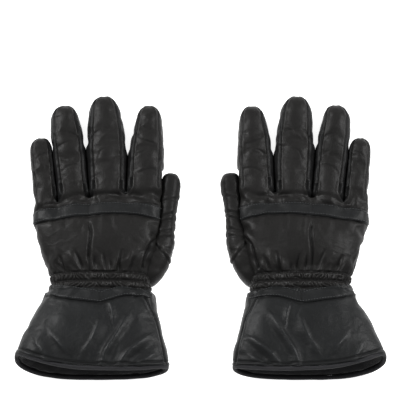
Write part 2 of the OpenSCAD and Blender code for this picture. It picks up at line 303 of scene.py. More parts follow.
def build_skin():
    """The base skin of one glove, from the hem inside its mouth to the tips of the fingers."""
    skin = Skin()
    fingers = {name: Finger(name) for name in FINGERS}
    angles = ring_angles()
    ring = len(angles)
    wide = TOP_QUADS + 1
    top_count = 4 * wide + 3

    def root_y(x):
        return np.interp(x, *zip(*ROOT_LINE))

    # The root row: the four fingers' tops with one vertex between each pair
    root = []
    for number, name in enumerate(FINGERS):
        for angle in angles[:wide]:
            x, _, z = fingers[name].point(0, angle)
            root.append((x, root_y(x), z, fingers[name].point(0, -angle)[2]))
        if number < 3:
            here = fingers[name].point(0, angles[wide - 1])
            there = fingers[FINGERS[number + 1]].point(0, angles[0])
            gap, high = (here[0] + there[0]) / 2, (here[2] + there[2]) / 2 - WEB_DEPTH
            root.append((gap, root_y(gap) - WEB_DEPTH, high, WEB_LOW))
    root = np.array(root)
    low_x, high_x = along(BODY_ROWS, ROOT_Y, 1), along(BODY_ROWS, ROOT_Y, 2)
    share = np.clip((root[:, 0] - (low_x + high_x) / 2) / ((high_x - low_x) / 2), -0.999, 0.999)
    top_angles = np.arccos(power(share, BODY_POWER / 2))
    last = top_angles[-1]
    side = np.linspace(last, 2 * math.pi - last, SIDE_QUADS + 1)[1:-1]
    first = top_angles[0]
    near = np.linspace(2 * math.pi - first, 2 * math.pi + first, SIDE_QUADS + 1)[1:-1]
    loop = np.concatenate([top_angles, side, 2 * math.pi - top_angles[::-1], near])
    bottom_last = 2 * top_count + SIDE_QUADS - 2

    def lobed(j):
        """Where a loop vertex lies at the roots of the fingers."""
        if j < top_count:
            return root[j][[0, 1, 2]]
        if top_count + SIDE_QUADS - 1 <= j <= bottom_last:
            return root[bottom_last - j][[0, 1, 3]]
        name, m = "little", wide + j - top_count
        if j > bottom_last:
            name, m = "index", ring - SIDE_QUADS + j - bottom_last
        x, _, z = fingers[name].point(0, angles[m])
        return np.array((x, root_y(x), z))

    for i, (y, depth) in enumerate(HEM_ROWS, -len(HEM_ROWS)):
        for j, angle in enumerate(loop):
            skin.vertex(("b", i, j), body_point(y, angle, depth))

    for i, y in enumerate(BODY_YS):
        pull = float(smooth(118, ROOT_Y, y))
        lobes = float(smooth(150, ROOT_Y + 1, y)) if i < len(BODY_YS) - 1 else 1.0
        for j, angle in enumerate(loop):
            x, row_y, z = body_point(y, angle)
            row_y = row_y + pull * (float(root_y(x)) - ROOT_Y)
            place = np.array((x, row_y, z), float)
            if lobes:
                target = lobed(j)
                target = np.array((target[0], target[1] - ROOT_Y + y, target[2]))
                place = (1 - lobes) * place + lobes * target
            skin.vertex(("b", i, j), place)

    def body_panel(i, j):
        """Which panel a quad of the body belongs to, from its place along and round it."""
        y, back = BODY_YS[max(i, 0)], j < top_count + 1
        if y < WRIST_LOW:
            return "gauntlet_back" if back else "gauntlet_palm"
        if y < WRIST_HIGH:
            return "wrist_elastic"
        if y < SPLIT_Y:
            return "hand_back" if back else "palm"
        return finger_tag(j) + ("_back" if j < top_count - 1 else "_front")

    def ring_panel(number, m):
        """Which panel a quad of a finger belongs to, from its place round it."""
        if m < TOP_QUADS:
            return "_back"
        if m < TOP_QUADS + SIDE_QUADS:
            return "_front" if number == 3 else "_fourchettes"
        if m < 2 * TOP_QUADS + SIDE_QUADS:
            return "_front"
        return "_front" if number == 0 else "_fourchettes"

    def finger_tag(j):
        """Which finger a loop quad leads to."""
        k = j if j < top_count else bottom_last - j - 1
        if j >= bottom_last:
            return "index"
        if top_count - 1 <= j < top_count + SIDE_QUADS - 1:
            return "little"
        for number, name in enumerate(FINGERS):
            if k < (number + 1) * (wide + 1) - 1:
                return name
        return "little"

    end = len(BODY_YS) - 1
    skin.patch(range(-len(HEM_ROWS), end), range(len(loop)),
               lambda i, j: ("b", i, j % len(loop)), body_panel)

    def ring_key(number, r, m):
        """A vertex of a finger's ring. Its first ring shares what it can of the root row."""
        m %= ring
        offset, under = number * (wide + 1), wide + SIDE_QUADS - 1
        if r == 0 and m < wide:
            return ("b", end, offset + m)
        if r == 0 and under <= m < under + wide:
            return ("b", end, bottom_last - offset - (under + wide - 1 - m))
        if r == 0 and m < under and number == 3:
            return ("b", end, top_count + m - wide)
        if r == 0 and m >= under + wide and number == 0:
            return ("b", end, bottom_last + m - ring + SIDE_QUADS)
        return ("f", number, r, m)

    for number, name in enumerate(FINGERS):
        finger = fingers[name]
        tip = finger.shape["tip"]
        reach, bend = finger.length - 0.06 * tip, finger.length - tip
        rings = int(round(reach / RING_SPACING))
        steps = np.linspace(0, 1, rings + 1)[1:] * (reach - 3) + 3
        steps = np.concatenate([steps[steps < bend], bend + tip * np.array(TIP_RINGS)])
        for m in range(ring):
            key = ring_key(number, 0, m)
            if key not in skin.index:
                x, _, z = finger.point(0, angles[m])
                skin.vertex(key, (x, float(root_y(x)), z))
            fall = float(root_y(finger.point(0, angles[m])[0])) - finger.start
            for r, s in enumerate(steps, 1):
                x, y, z = finger.point(s, angles[m])
                share = max(0.0, 1 - s / FALL_REACH) ** 1.5
                skin.vertex(ring_key(number, r, m), (x, y + fall * share, z))
        skin.patch(range(len(steps)), range(ring), functools.partial(ring_key, number),
                   lambda r, m: name + ring_panel(number, m))
        # The tip is closed with a small grid of quads
        close = len(steps)
        last_step = steps[-1]
        flat = finger.point(last_step, 0)[0] - finger.middle(last_step)
        tall = finger.point(last_step, math.pi / 2)[2] - finger.height(last_step)

        def cap_key(a, b):
            if b == 0:
                return ring_key(number, close, a)
            if b == SIDE_QUADS:
                return ring_key(number, close, ring - SIDE_QUADS - a)
            if a == TOP_QUADS:
                return ring_key(number, close, TOP_QUADS + b)
            if a == 0:
                return ring_key(number, close, ring - b)
            return ("t", number, a, b)

        for a, b in itertools.product(range(1, TOP_QUADS), range(1, SIDE_QUADS)):
            u, v = 1 - 2 * a / TOP_QUADS, 1 - 2 * b / SIDE_QUADS
            bulge = (1 - u * u) * (1 - v * v)
            skin.vertex(("t", number, a, b), (
                finger.middle(last_step) + flat * u * math.sqrt(1 - v * v / 2) * 0.92,
                finger.start + last_step + bulge * (finger.length - last_step),
                finger.height(last_step) + tall * v * math.sqrt(1 - u * u / 2) * 0.85,
            ))
        for a in range(TOP_QUADS):
            for b in range(SIDE_QUADS):
                keys = [cap_key(a, b), cap_key(a, b + 1), cap_key(a + 1, b + 1), cap_key(a + 1, b)]
                skin.quad(keys, name + ("_back" if b < SIDE_QUADS / 2 else "_front"))

    # The webs between the fingers
    for number in range(3):
        offset = number * (wide + 1) + wide
        left = [ring_key(number, 0, TOP_QUADS + b) for b in range(SIDE_QUADS + 1)]
        right = [ring_key(number + 1, 0, -b) for b in range(SIDE_QUADS + 1)]
        middle = [("b", end, offset)]
        for b in range(1, SIDE_QUADS):
            one, other = (np.array(skin.points[skin.index[keys[b]]]) for keys in (left, right))
            skin.vertex(("w", number, b), (one + other) / 2 - np.array((0, WEB_DEPTH, 0)))
            middle.append(("w", number, b))
        middle.append(("b", end, bottom_last - offset))
        for b in range(SIDE_QUADS):
            here, there = FINGERS[number] + "_fourchettes", FINGERS[number + 1] + "_fourchettes"
            skin.quad([left[b], left[b + 1], middle[b + 1], middle[b]], here)
            skin.quad([middle[b], middle[b + 1], right[b + 1], right[b]], there)
    return skin


# ==== Surfaces while they are shaped ====


class Surface:
    """A mesh in the glove's own frame: points, quads and the tag of each quad."""

    def __init__(self, points, faces, tags=None):
        self.points = np.asarray(points, float)
        self.faces = np.asarray(faces, int)
        self.tags = np.zeros(len(self.faces), int) if tags is None else np.asarray(tags, int)

    def normals(self):
        """The way out of the surface at each point."""
        corners = self.points[self.faces]
        face = np.cross(corners[:, 2] - corners[:, 0], corners[:, 3] - corners[:, 1])
        total = np.zeros_like(self.points)
        for axis in range(3):
            weights = np.repeat(face[:, axis], 4)
            total[:, axis] = np.bincount(self.faces.ravel(), weights, len(self.points))
        return total / np.maximum(np.linalg.norm(total, axis=1), 1e-9)[:, None]

    def push(self, amount):
        """Moves each point along its normal, in millimetres."""
        self.points = self.points + self.normals() * np.asarray(amount)[:, None]

    def tree(self):
        return BVHTree.FromPolygons(self.points.tolist(), self.faces.tolist())

    def mesh(self, name):
        mesh = bpy.data.meshes.new(name)
        mesh.from_pydata(self.points.tolist(), [], self.faces.tolist())
        mesh.polygons.foreach_set("material_index", self.tags.astype(np.int32))
        return mesh


def evaluated(obj):
    """The object's mesh with its modifiers applied, as a Surface. The object is removed."""
    graph = bpy.context.evaluated_depsgraph_get()
    mesh = bpy.data.meshes.new_from_object(obj.evaluated_get(graph))
    points = np.empty(len(mesh.vertices) * 3)
    mesh.vertices.foreach_get("co", points)
    faces = np.empty(len(mesh.loops), np.int32)
    mesh.loops.foreach_get("vertex_index", faces)
    tags = np.empty(len(mesh.polygons), np.int32)
    mesh.polygons.foreach_get("material_index", tags)
    old = obj.data
    bpy.data.objects.remove(obj)
    bpy.data.meshes.remove(old)
    bpy.data.meshes.remove(mesh)
    return Surface(points.reshape(-1, 3), faces.reshape(-1, 4), tags)


def link(name, data):
    """A new object in the scene with this mesh, curve, light or camera."""
    obj = bpy.data.objects.new(name, data)
    bpy.context.scene.collection.objects.link(obj)
    return obj


def refined(surface, levels):
    """Catmull-Clark subdivision. A base point keeps its number."""
    obj = link("refining", surface.mesh("refining"))
    finer = obj.modifiers.new("finer", "SUBSURF")
    finer.levels = finer.render_levels = levels
    return evaluated(obj)


def neighbour_mean(surface, values, rounds):
    """Values averaged over each point's neighbours, several times."""
    starts = surface.faces.ravel()
    ends = np.roll(surface.faces, -1, axis=1).ravel()
    count = np.bincount(starts, minlength=len(values)) + np.bincount(ends, minlength=len(values))
    for _ in range(rounds):
        mean = np.empty_like(values)
        for axis in range(values.shape[1]):
            column = values[:, axis]
            mean[:, axis] = (np.bincount(starts, column[ends], len(column))
                             + np.bincount(ends, column[starts], len(column))) / count
        values = mean
    return values


def held(points):
    """How firmly seams, elastic and table hold each point of the base skin, from 0 to 1."""
    x, y, z = points.T
    hold = np.maximum(1 - smooth(10, 20, y), smooth(80, 82, y) * (1 - smooth(101, 103, y)))
    hold = np.maximum(hold, 0.7 * smooth(150, 153, y) * (1 - smooth(166, 170, y)))
    hold = np.maximum(hold, z < 1.0)
    for name in FINGERS:
        finger = Finger(name)
        for line in finger_seams(finger, 2.5):
            near = np.nonzero(np.abs(x - line[:, 0].mean()) < 30)[0]
            distance = line_distance(points[near], line)[0]
            hold[near] = np.maximum(hold[near], 0.85 * bell(distance, 1.2))
    return hold


TOUCH_ENDS = (227, 233, 230)  # how far along the glove neighbouring fingers touch
TOUCH_HEIGHT = 11.5
TOUCH_PULL = 2.5


def pressed_together(surface):
    """Lets the sides of neighbouring fingers meet halfway up, so that no light comes through."""
    x, y, z = surface.points.T
    moved = x.copy()
    for one, other, reach in zip(FINGERS[:-1], FINGERS[1:], TOUCH_ENDS):
        here, there = Finger(one), Finger(other)
        s_here, s_there = y - here.start, y - there.start
        right = here.middle(s_here) - here.half_width(s_here)
        left = there.middle(s_there) + there.half_width(s_there)
        centre = (right + left) / 2
        start = np.interp(centre, *zip(*ROOT_LINE))
        share = smooth(-2, 1.5, y - start) * (1 - smooth(reach - 7, reach, y))
        share = share * np.minimum(1.0, 1.6 * bell(z - TOUCH_HEIGHT, 6.0))
        gap = np.abs(x - centre)
        pull = share * np.minimum(gap, TOUCH_PULL) * np.clip(1.9 - gap / 3, 0, 1)
        moved = np.where(gap < 5, moved - np.where(x > centre, 1, -1) * pull, moved)
    surface.points[:, 0] = moved


SWELL_FRAMES = 12
SWELL_SCALE = 0.01  # the simulation's size of a millimetre
SWELL_LOST = 0.8  # share of the wide, even swelling that is taken out again
SWELL_CAP = 2.4
CUFF_SWELL = 0.35
FINGER_SWELL = 0.65
CLOTH = {
    "quality": 5, "tension_stiffness": 25, "compression_stiffness": 25, "shear_stiffness": 10,
    "bending_stiffness": 1.5, "use_pressure": True, "uniform_pressure_force": 2.5,
    "shrink_min": -0.045, "vertex_group_mass": "held",
}


def swollen(surface, seed):
    """Cloth simulation: padding presses the leather out between the places that hold it. What
    stays is the puckering, and a part of the swelling."""
    scene = bpy.context.scene
    start = surface.points + surface.normals() * (
        0.3 * noise(surface.points, (8, 8, 8), seed))[:, None]
    start[:, 2] = np.maximum(start[:, 2], 0.0)
    obj = link("swelling", Surface(start * SWELL_SCALE, surface.faces).mesh("swelling"))
    group = obj.vertex_groups.new(name="held")
    for index, weight in enumerate(held(surface.points).tolist()):
        if weight > 0.02:
            group.add([index], weight, "REPLACE")
    cloth = obj.modifiers.new("cloth", "CLOTH")
    for key, value in CLOTH.items():
        setattr(cloth.settings, key, value)
    cloth.settings.effector_weights.gravity = 0
    cloth.collision_settings.use_collision = False
    cloth.point_cache.frame_start, cloth.point_cache.frame_end = 1, SWELL_FRAMES
    for number in range(1, SWELL_FRAMES + 1):
        scene.frame_set(number)
    drift = evaluated(obj).points / SWELL_SCALE - surface.points
    scene.frame_set(1)
    drift -= SWELL_LOST * neighbour_mean(surface, drift, 14)
    far = np.linalg.norm(drift, axis=1)
    drift *= (np.minimum(far, SWELL_CAP) / np.maximum(far, 1e-6))[:, None]
    share = 1 - (1 - CUFF_SWELL) * (1 - smooth(70, 86, surface.points[:, 1]))
    share = share - (1 - FINGER_SWELL) * smooth(175, 190, surface.points[:, 1])
    points = surface.points + drift * share[:, None]
    points[:, 2] = np.maximum(points[:, 2], 0.0)
    return Surface(points, surface.faces, surface.tags)


def line_distance(points, line):
    """Distance of each point from a line of points, how far along the line the nearest place is,
    as a share of its length, and on which side of the line the point lies."""
    line = np.asarray(line, float)
    steps = np.linalg.norm(np.diff(line, axis=0), axis=1)
    starts = np.concatenate([[0], np.cumsum(steps)])
    best = np.full(len(points), 1e9)
    share, side = np.zeros((2, len(points)))
    for a, b, length, start in zip(line[:-1], line[1:], steps, starts):
        way = (b - a) / max(length, 1e-9)
        t = np.clip((points - a) @ way, 0, length)
        offset = points - (a + t[:, None] * way)
        distance = np.linalg.norm(offset, axis=1)
        closer = distance < best
        best[closer] = distance[closer]
        share[closer] = (start + t[closer]) / starts[-1]
        turn = way[0] * offset[:, 1] - way[1] * offset[:, 0]
        side[closer] = np.sign(turn[closer])
    return best, share, side


def curve_through(points, spacing):
    """Points at an even spacing along a smooth curve through these points."""
    points = np.asarray(points, float)
    padded = np.vstack([2 * points[0] - points[1], points, 2 * points[-1] - points[-2]])
    out = []
    for p0, p1, p2, p3 in zip(padded[:-3], padded[1:-2], padded[2:-1], padded[3:]):
        t = np.linspace(0, 1, 12, endpoint=False)[:, None]
        out.append(
            0.5 * (2 * p1 + (p2 - p0) * t + (2 * p0 - 5 * p1 + 4 * p2 - p3) * t**2
                   + (3 * p1 - p0 - 3 * p2 + p3) * t**3)
        )
    dense = np.vstack(out + [points[-1:]])
    lengths = np.concatenate([[0], np.cumsum(np.linalg.norm(np.diff(dense, axis=0), axis=1))])
    count = max(2, int(round(lengths[-1] / spacing)) + 1)
    marks = np.linspace(0, lengths[-1], count)
    return np.column_stack([np.interp(marks, lengths, dense[:, k]) for k in range(dense.shape[1])])


PRIMES = (73856093, 19349663, 83492791)


def noise(points, size, seed):
    """Smooth noise from about -1 to 1. Size is how big its lumps are, on each axis."""
    table = np.random.default_rng(seed).uniform(-1.6, 1.6, 4096)
    place = np.asarray(points, float) / size
    cell = np.floor(place).astype(np.int64)
    part = place - cell
    part = part * part * (3 - 2 * part)
    total = np.zeros(len(place))
    for corner in itertools.product((0, 1), repeat=place.shape[1]):
        weight, key = 1.0, 0
        for axis, step in enumerate(corner):
            weight = weight * (part[:, axis] if step else 1 - part[:, axis])
            key = key ^ (cell[:, axis] + step) * PRIMES[axis]
        total += weight * table[key % len(table)]
    return total


# ==== Folds, gathers and seams of the leather ====

# Lines on the back of a glove, across and along it
CREASE_LINE = ((-61.7, 164), (-42.2, 168.6), (-32.5, 173.4), (-19, 177.3), (-4.8, 177.3),
               (11.1, 177.7), (35.2, 176.3), (50, 169.5))
PLEAT_LINE = ((-10.2, 151), (-8.8, 143), (-7.8, 136), (-9.6, 117), (-8.5, 101))
BACK_EDGE = ((60.8, 172), (60.6, 160), (59.6, 148), (58, 141), (53.5, 134.5), (48, 127),
             (44, 116), (41.5, 104.6))
GAUNTLET_EDGE = ((40, 79.5), (47.6, 66), (54, 53.6), (58.5, 33.4), (62, 14.8), (63.5, 8))
# Raised folds: points, height, half width
FOLDS = (
    (((10.5, 67), (13, 57), (14.3, 46)), 1.3, 3.2),
    (((26, 53), (23.8, 49), (17.6, 36.7), (7.2, 19.3), (2.9, 4.6)), 2.6, 5.2),
    (((46, 35), (39.9, 29.6), (27.6, 18.6), (19.6, 5.6)), 2.2, 4.6),
    (((50, 17), (45.3, 13.5), (37, 7.1)), 1.6, 3.6),
    (((-44, 37), (-40.2, 31.6), (-29.8, 18.6)), 1.3, 5),
    (((1, 48), (-1, 41.8), (-7.2, 27.6), (-14.4, 17.1)), 1.5, 5),
    (((-57, 28), (-50, 16), (-47, 6)), 1.2, 5.5),
    (((-39, 112), (-35, 106), (-31, 100)), 1.1, 2.2),
    (((-27, 116), (-23, 109), (-17, 101)), 1.3, 2.4),
    (((1, 113), (2.2, 107), (3, 100)), 1.2, 2.2),
    (((18.5, 111), (16.5, 106), (15, 100)), 1.2, 2.2),
    (((30, 118), (29, 110), (26, 101)), 1.1, 2.6),
    (((-1.5, 230), (5, 237.5), (12.5, 244.5)), 0.5, 0.8),
)
# Shallow valleys beside the folds, with painted shade in the narrow ones
VALLEYS = (
    (((33, 52), (29, 42), (18, 26), (11, 6)), 1.7, 5),
    (((16, 52), (9, 36), (-1, 20), (-5, 6)), 1.5, 5.5),
    (((50, 27), (38, 16), (29, 6)), 1.3, 4),
    (((5, 66), (7, 56), (6, 48)), 1.0, 4),
    (((-37, 114), (-34, 107), (-32, 101)), 1.5, 1.3),
    (((-22, 118), (-18, 109), (-15, 101)), 1.7, 1.5),
    (((-4.5, 113), (-4, 107), (-3, 101)), 1.4, 1.2),
    (((4.5, 115), (6, 108), (7, 101)), 1.6, 1.3),
    (((11, 109), (11.5, 101)), 1.2, 1.2),
    (((21.5, 119), (20, 110), (18, 101)), 1.8, 1.5),
    (((34, 113), (31, 107), (29, 101)), 1.4, 1.4),
    (((-30.5, 240), (-24, 239), (-19.5, 235)), 0.55, 0.8),
    (((-42, 224), (-36, 228), (-28, 231.5)), 0.5, 0.8),
    (((-10, 230), (-6, 238), (1.6, 243.5)), 0.6, 0.8),
    (((-2, 213), (1, 221), (6, 224)), 0.4, 0.9),
    (((36, 236.5), (43, 231.5), (53, 228.5)), 0.6, 0.8),
    (((33, 215), (37, 219), (42.5, 220.5)), 0.55, 0.8),
    (((-60, 214), (-56, 219), (-49, 221)), 0.45, 0.8),
    (((-36, 200), (-30, 206), (-22, 208)), 0.45, 0.8),
    (((38, 199), (46, 203), (55, 202)), 0.4, 0.8),
)
# Rows of elastic in the wrist, and the puffs between them
ELASTIC_ROWS = (84.0, 91.5, 99.5)
PUFF_PITCH = 4.1
PUFF_HEIGHT = 2.1
PUFF_SINK = 1.1
PUFF_SHINE = 0.9
GATHER_HEIGHT = 1.05
PLEAT_DEPTH = 2.3
DENT_PLACE = (-12, 150)
CREASE_DEPTH = 0.85
STRAP_DIP = 0.5
# The turned edge of the gauntlet: its distance from the mouth, its depth and half width
HEM_INSET = 5.6
HEM_DEPTH = 0.8
HEM_WIDTH = 0.9
GAP_DEPTH = 1.3
SEAM_DEPTH = 0.95
FINGER_JOINTS = (0.3, 0.36, 0.62, 0.67)  # shares of a finger's length
JOINT_DEPTH = 0.15
# A wide fold is steeper on the little finger's side, where painted shade darkens its foot
WIDE_FOLD = 3
FOLD_SLOPES = (0.42, 1.15)
NARROW_VALLEY = 2
TABLE_LIFT = 0.15  # share of the relief that is left where the leather lies on the table


def bell(distance, width):
    """1 at no distance, falling off on both sides within about the width."""
    return np.exp(-((distance / width) ** 2))


def finger_seams(finger, spacing=1.2):
    """The two seams of a finger's back panel, from its root to its tip."""
    s = np.arange(1, finger.length - 1.5, spacing)
    for angle in (TOP_EDGE, 180 - TOP_EDGE):
        yield np.column_stack(finger.point(s, math.radians(angle)))


def gap_lines():
    """The stitched line round the bottom of each gap between two fingers, on the back of the hand.
    """
    for one, other in zip(FINGERS[:-1], FINGERS[1:]):
        here, there = Finger(one), Finger(other)
        left = np.column_stack(here.point(np.array((9.0, 4.5, 1.5)), math.radians(180 - TOP_EDGE)))
        right = np.column_stack(there.point(np.array((1.5, 4.5, 9.0)), math.radians(TOP_EDGE)))
        low = (left[-1] + right[0]) / 2 - np.array((0, 5.2, 0))
        yield curve_through(np.vstack([left, low[None], right]), 1.0)


def mark(values, amount, where=slice(None)):
    """Raises values to an amount where they are below it."""
    values[where] = np.maximum(values[where], amount)


def shaped(surface, seed):
    """The leather's own relief on the fine skin. Returns where the dye is darkened, at seams and by
    painted shade in creases, grooves and at the feet of folds, and where painted highlights lighten
    it on the crests of folds, puffs and gathers."""
    points = surface.points.copy()
    x, y, z = points.T
    flat = points[:, :2]
    top = smooth(0.05, 0.45, surface.normals()[:, 2])
    rng = np.random.default_rng(seed)
    lift, seam, fold = np.zeros((3, len(points)))
    on_finger = smooth(176, 186, y)
    on_hand = smooth(100, 106, y) * (1 - on_finger)
    on_cuff = 1 - smooth(78, 84, y)
    on_wrist = 1 - np.maximum(smooth(99, 102.5, y), on_cuff)

    # Soft unevenness everywhere, finer on the fingers
    lift += (on_hand + on_cuff) * (0.75 * noise(points, (30, 26, 30), seed)
                                   + 0.28 * noise(points, (11, 13, 11), seed + 1))
    lift += on_finger * (0.3 * noise(points, (16, 22, 12), seed + 2)
                         + 0.06 * noise(points, (10, 5.5, 8), seed + 3))
    slant = points @ np.array(((0.8, -0.5, 0.1), (0.55, 0.82, 0.0), (0.0, 0.1, 1.0)))
    crumple = 1 - np.abs(noise(slant, (13, 7, 14), seed + 12))
    crumple = np.clip(crumple - 0.62, 0, 1) / 0.38
    crumple = crumple * smooth(-0.1, 0.5, noise(points, (20, 20, 20), seed + 13))
    lift += (0.3 * on_finger + 0.2 * (on_hand + on_cuff)) * crumple**2 * top
    # Painted highlights on the crests of the crumples on the fingers
    fold += 0.5 * on_finger * crumple**4
    lift += 0.07 * noise(points, (3.4, 3.0, 3.4), seed + 4)

    # Gathers that fade away from the elastic on both sides, with painted highlights on their crests
    round_place = np.arctan2(z - 15, (x + 1) * 0.45) * 42
    wobble = 2.2 * noise(points[:, 1:2], (9,), seed + 5)
    lines = np.column_stack([round_place + wobble, y])
    gather = noise(lines, (4.4, 26), seed + 6) + 0.6 * noise(lines, (7.5, 34), seed + 7)
    reach = (1 - smooth(99, 120 + 8 * noise(lines[:, :1], (9,), seed + 10), y)) * smooth(98, 101, y)
    reach += smooth(66, 84, y) * (1 - smooth(82, 86, y)) * 0.8
    lift += GATHER_HEIGHT * reach * gather
    fold += 0.4 * reach * np.clip(gather, 0, 1)

    # Puffs between the rows of elastic, with painted highlights on their crests, and dark lines
    # along the rows, partly their stitching and partly painted shade in the grooves
    phase = round_place / PUFF_PITCH + 0.8 * noise(lines, (7, 9), seed + 8)
    phase += 0.5 * (y > ELASTIC_ROWS[1])
    ruffle = np.abs(np.sin(phase * math.pi)) ** 0.7
    rows = np.ones(len(points))
    for row in ELASTIC_ROWS:
        rows = rows * (1 - bell(y - row, 1.35))
    lift += on_wrist * (PUFF_HEIGHT * ruffle * rows - PUFF_SINK)
    fold += on_wrist * PUFF_SHINE * ruffle * rows
    dark = 0.7 * on_wrist * (1 - rows)
    mark(seam, dark * smooth(81, 83, y) * (1 - smooth(101, 103, y)))

    # Folds and valleys, with painted highlights on the crests of the folds, and painted shade at the
    # steep foot of the wide folds and in the narrow valleys
    for table, sign in ((FOLDS, 1.0), (VALLEYS, -1.0)):
        for line, height, width in table:
            shift = rng.uniform(-1, 1, 2) * (2.5 if seed % 2 else 0.0)
            distance, share, turn = line_distance(flat, curve_through(np.array(line) + shift, 4))
            ends = np.sin(math.pi * np.clip(share * 0.84 + 0.08, 0, 1)) ** 0.6
            steep = sign > 0 and width > WIDE_FOLD
            slope = np.where(turn < 0, *FOLD_SLOPES) if steep else 1.0
            size = bell(distance, width * slope) * ends * top
            lift += sign * height * size
            if sign > 0:
                mark(fold, bell(distance, width * 0.4) * ends * top)
                foot = bell(distance - 0.55 * width, 0.4 * width) * (turn < 0)
                mark(seam, 0.45 * steep * foot * ends * top)
            elif width < NARROW_VALLEY:
                mark(seam, 0.85 * bell(distance, 0.8 * width) * ends * top)

    # The pleat down the middle of the back: one side folds over the other, and painted shade darkens
    # the fold's line
    distance, share, side = line_distance(flat, curve_through(PLEAT_LINE, 3))
    strength = smooth(0, 0.16, share) * (1 - 0.35 * smooth(0.7, 1, share)) * top
    lift -= PLEAT_DEPTH * strength * bell(distance, 1.5)
    lift += 0.3 * strength * bell(distance - 3.2, 3.0) * (side > 0)
    lift += 0.2 * strength * bell(distance - 4, 4) * (side <= 0)
    mark(seam, strength * bell(distance, 1.3))
    lift -= 0.9 * top * bell(np.hypot(x - DENT_PLACE[0], (y - DENT_PLACE[1]) / 1.3), 5.5)

    # The crease where the fingers begin, under tension from the knuckles
    distance, share, _ = line_distance(flat, curve_through(CREASE_LINE, 4))
    ends = np.sin(math.pi * np.clip(share, 0.02, 0.98)) ** 0.5
    lift -= CREASE_DEPTH * bell(distance, 1.9) * ends * top
    lift += 0.45 * bell(distance - 4, 2.8) * ends * top

    # The folded edge of the back panel over the thumb's side, and that of the gauntlet: painted
    # shade in the groove, and a painted highlight on the raised edge beside it
    for line, depth in ((BACK_EDGE, 1.2), (GAUNTLET_EDGE, 0.8)):
        distance, share, side = line_distance(flat, curve_through(line, 3))
        ends = smooth(0, 0.1, share) * top
        lift -= depth * ends * bell(distance, depth)
        lift += 0.6 * depth * ends * bell(distance - 2.2, 1.7) * (side < 0)
        mark(seam, ends * bell(distance, depth))
        mark(fold, 0.5 * ends * bell(distance - 1.8, 0.9) * (side < 0))

    # The leather dips along the edges of the strip and the band that are sewn on it, with painted
    # shade in the dips
    for rows, columns in ((STRIP_ROWS, (1, 2)), (BAND_ROWS, (1,))):
        for column in columns:
            edge = np.array(rows)[:, [0, column]] + (0, 0.5 if column == 2 else -0.5)
            distance = line_distance(flat, edge)[0]
            lift -= STRAP_DIP * top * bell(distance, 1.2)
            mark(seam, (0.95 if column == 1 else 0.7) * top * bell(distance, 1.0))

    # The turned edge of the gauntlet: a groove along its stitching with painted shade in it, and a
    # narrow roll beside the binding
    _, low_x, high_x, _, high_z = BODY_ROWS[0]
    across = (x - (low_x + high_x) / 2) / (high_x - low_x) * 2
    upward = (z - high_z / 2) / high_z * 2
    turn = np.arctan2(power(np.clip(upward, -1, 1), BODY_POWER / 2),
                      power(np.clip(across, -1, 1), BODY_POWER / 2))
    inset = y - body_point(np.zeros(len(points)), turn)[1]
    lift -= HEM_DEPTH * on_cuff * bell(inset - HEM_INSET, HEM_WIDTH)
    lift += 0.4 * on_cuff * bell(inset - 3.0, 1.6)
    mark(seam, 0.95 * on_cuff * bell(inset - HEM_INSET, HEM_WIDTH))

    # The seams run on round the bottom of each gap between two fingers, with painted shade in their
    # groove and a painted highlight on the rolled edge beside it
    for line in gap_lines():
        near = np.nonzero((np.abs(y - line[:, 1].mean()) < 20) & (z > 12))[0]
        distance = line_distance(flat[near], line[:, :2])[0]
        lift[near] -= GAP_DEPTH * bell(distance, 1.0) * top[near]
        lift[near] += 0.5 * bell(distance - 2.4, 1.3) * top[near]
        mark(seam, bell(distance, 1.1) * top[near], near)
        mark(fold, 0.6 * bell(distance - 2.4, 0.9) * top[near], near)

    # Seams along the fingers, with the leather swelling a little on each side
    for name in FINGERS:
        finger = Finger(name)
        near = (y > ROOT_Y - 4) & (np.abs(x - finger.middle(y - finger.start)) < 24)
        chosen = np.nonzero(near)[0]
        for line in finger_seams(finger):
            distance = line_distance(points[chosen], line)[0]
            pucker = 0.14 * noise(points[chosen], (5, 7, 5), seed + 9)
            lift[chosen] -= (SEAM_DEPTH + pucker) * bell(distance, 1.0)
            lift[chosen] += (0.35 + pucker) * bell(distance - 2.3, 1.5)
            mark(seam, bell(distance, 0.85), chosen)
        # Shallow creases across the joints of the finger
        for part in FINGER_JOINTS:
            bow = finger.start + finger.length * (part + rng.uniform(-0.015, 0.015))
            aside = x - finger.middle(y - finger.start)
            bow = bow + 0.03 * aside**2 * rng.uniform(-0.4, 0.8)
            lift -= JOINT_DEPTH * near * top * bell(y - bow, 1.8) * rng.uniform(0.5, 1.1)

    press(surface, lift, z)
    return seam, np.clip(fold, 0, 1)


def press(surface, lift, z):
    """Gives a surface its relief, which fades near the table and never goes below it."""
    surface.push(lift * np.maximum(smooth(0.4, 4.0, z), TABLE_LIFT))
    surface.points[:, 2] = np.maximum(surface.points[:, 2], 0.0)


# ==== Other shapes ====


def lofted(loops, ring=False):
    """A closed tube through loops of points. Its ends are closed with quads, or it meets itself."""
    loops = np.asarray(loops, float)
    rows, around = loops.shape[:2]
    faces = []
    for i in range(rows if ring else rows - 1):
        here, there = i * around, (i + 1) % rows * around
        for j in range(around):
            n = (j + 1) % around
            faces.append((here + j, there + j, there + n, here + n))
    if not ring:
        for start, turned in ((0, False), ((rows - 1) * around, True)):
            for j in range(around // 2 - 1):
                quad = [start + k for k in (j, j + 1, around - 2 - j, around - 1 - j)]
                faces.append(quad[::-1] if turned else quad)
    return Surface(loops.reshape(-1, 3), faces)


def outward(surface):
    """The same closed surface with its faces turned outwards, judged by the sign of its volume."""
    a, b, c, d = surface.points[surface.faces].transpose(1, 0, 2)
    if (np.cross(a, b) * c + np.cross(a, c) * d).sum() < 0:
        surface.faces = surface.faces[:, ::-1]
    return surface


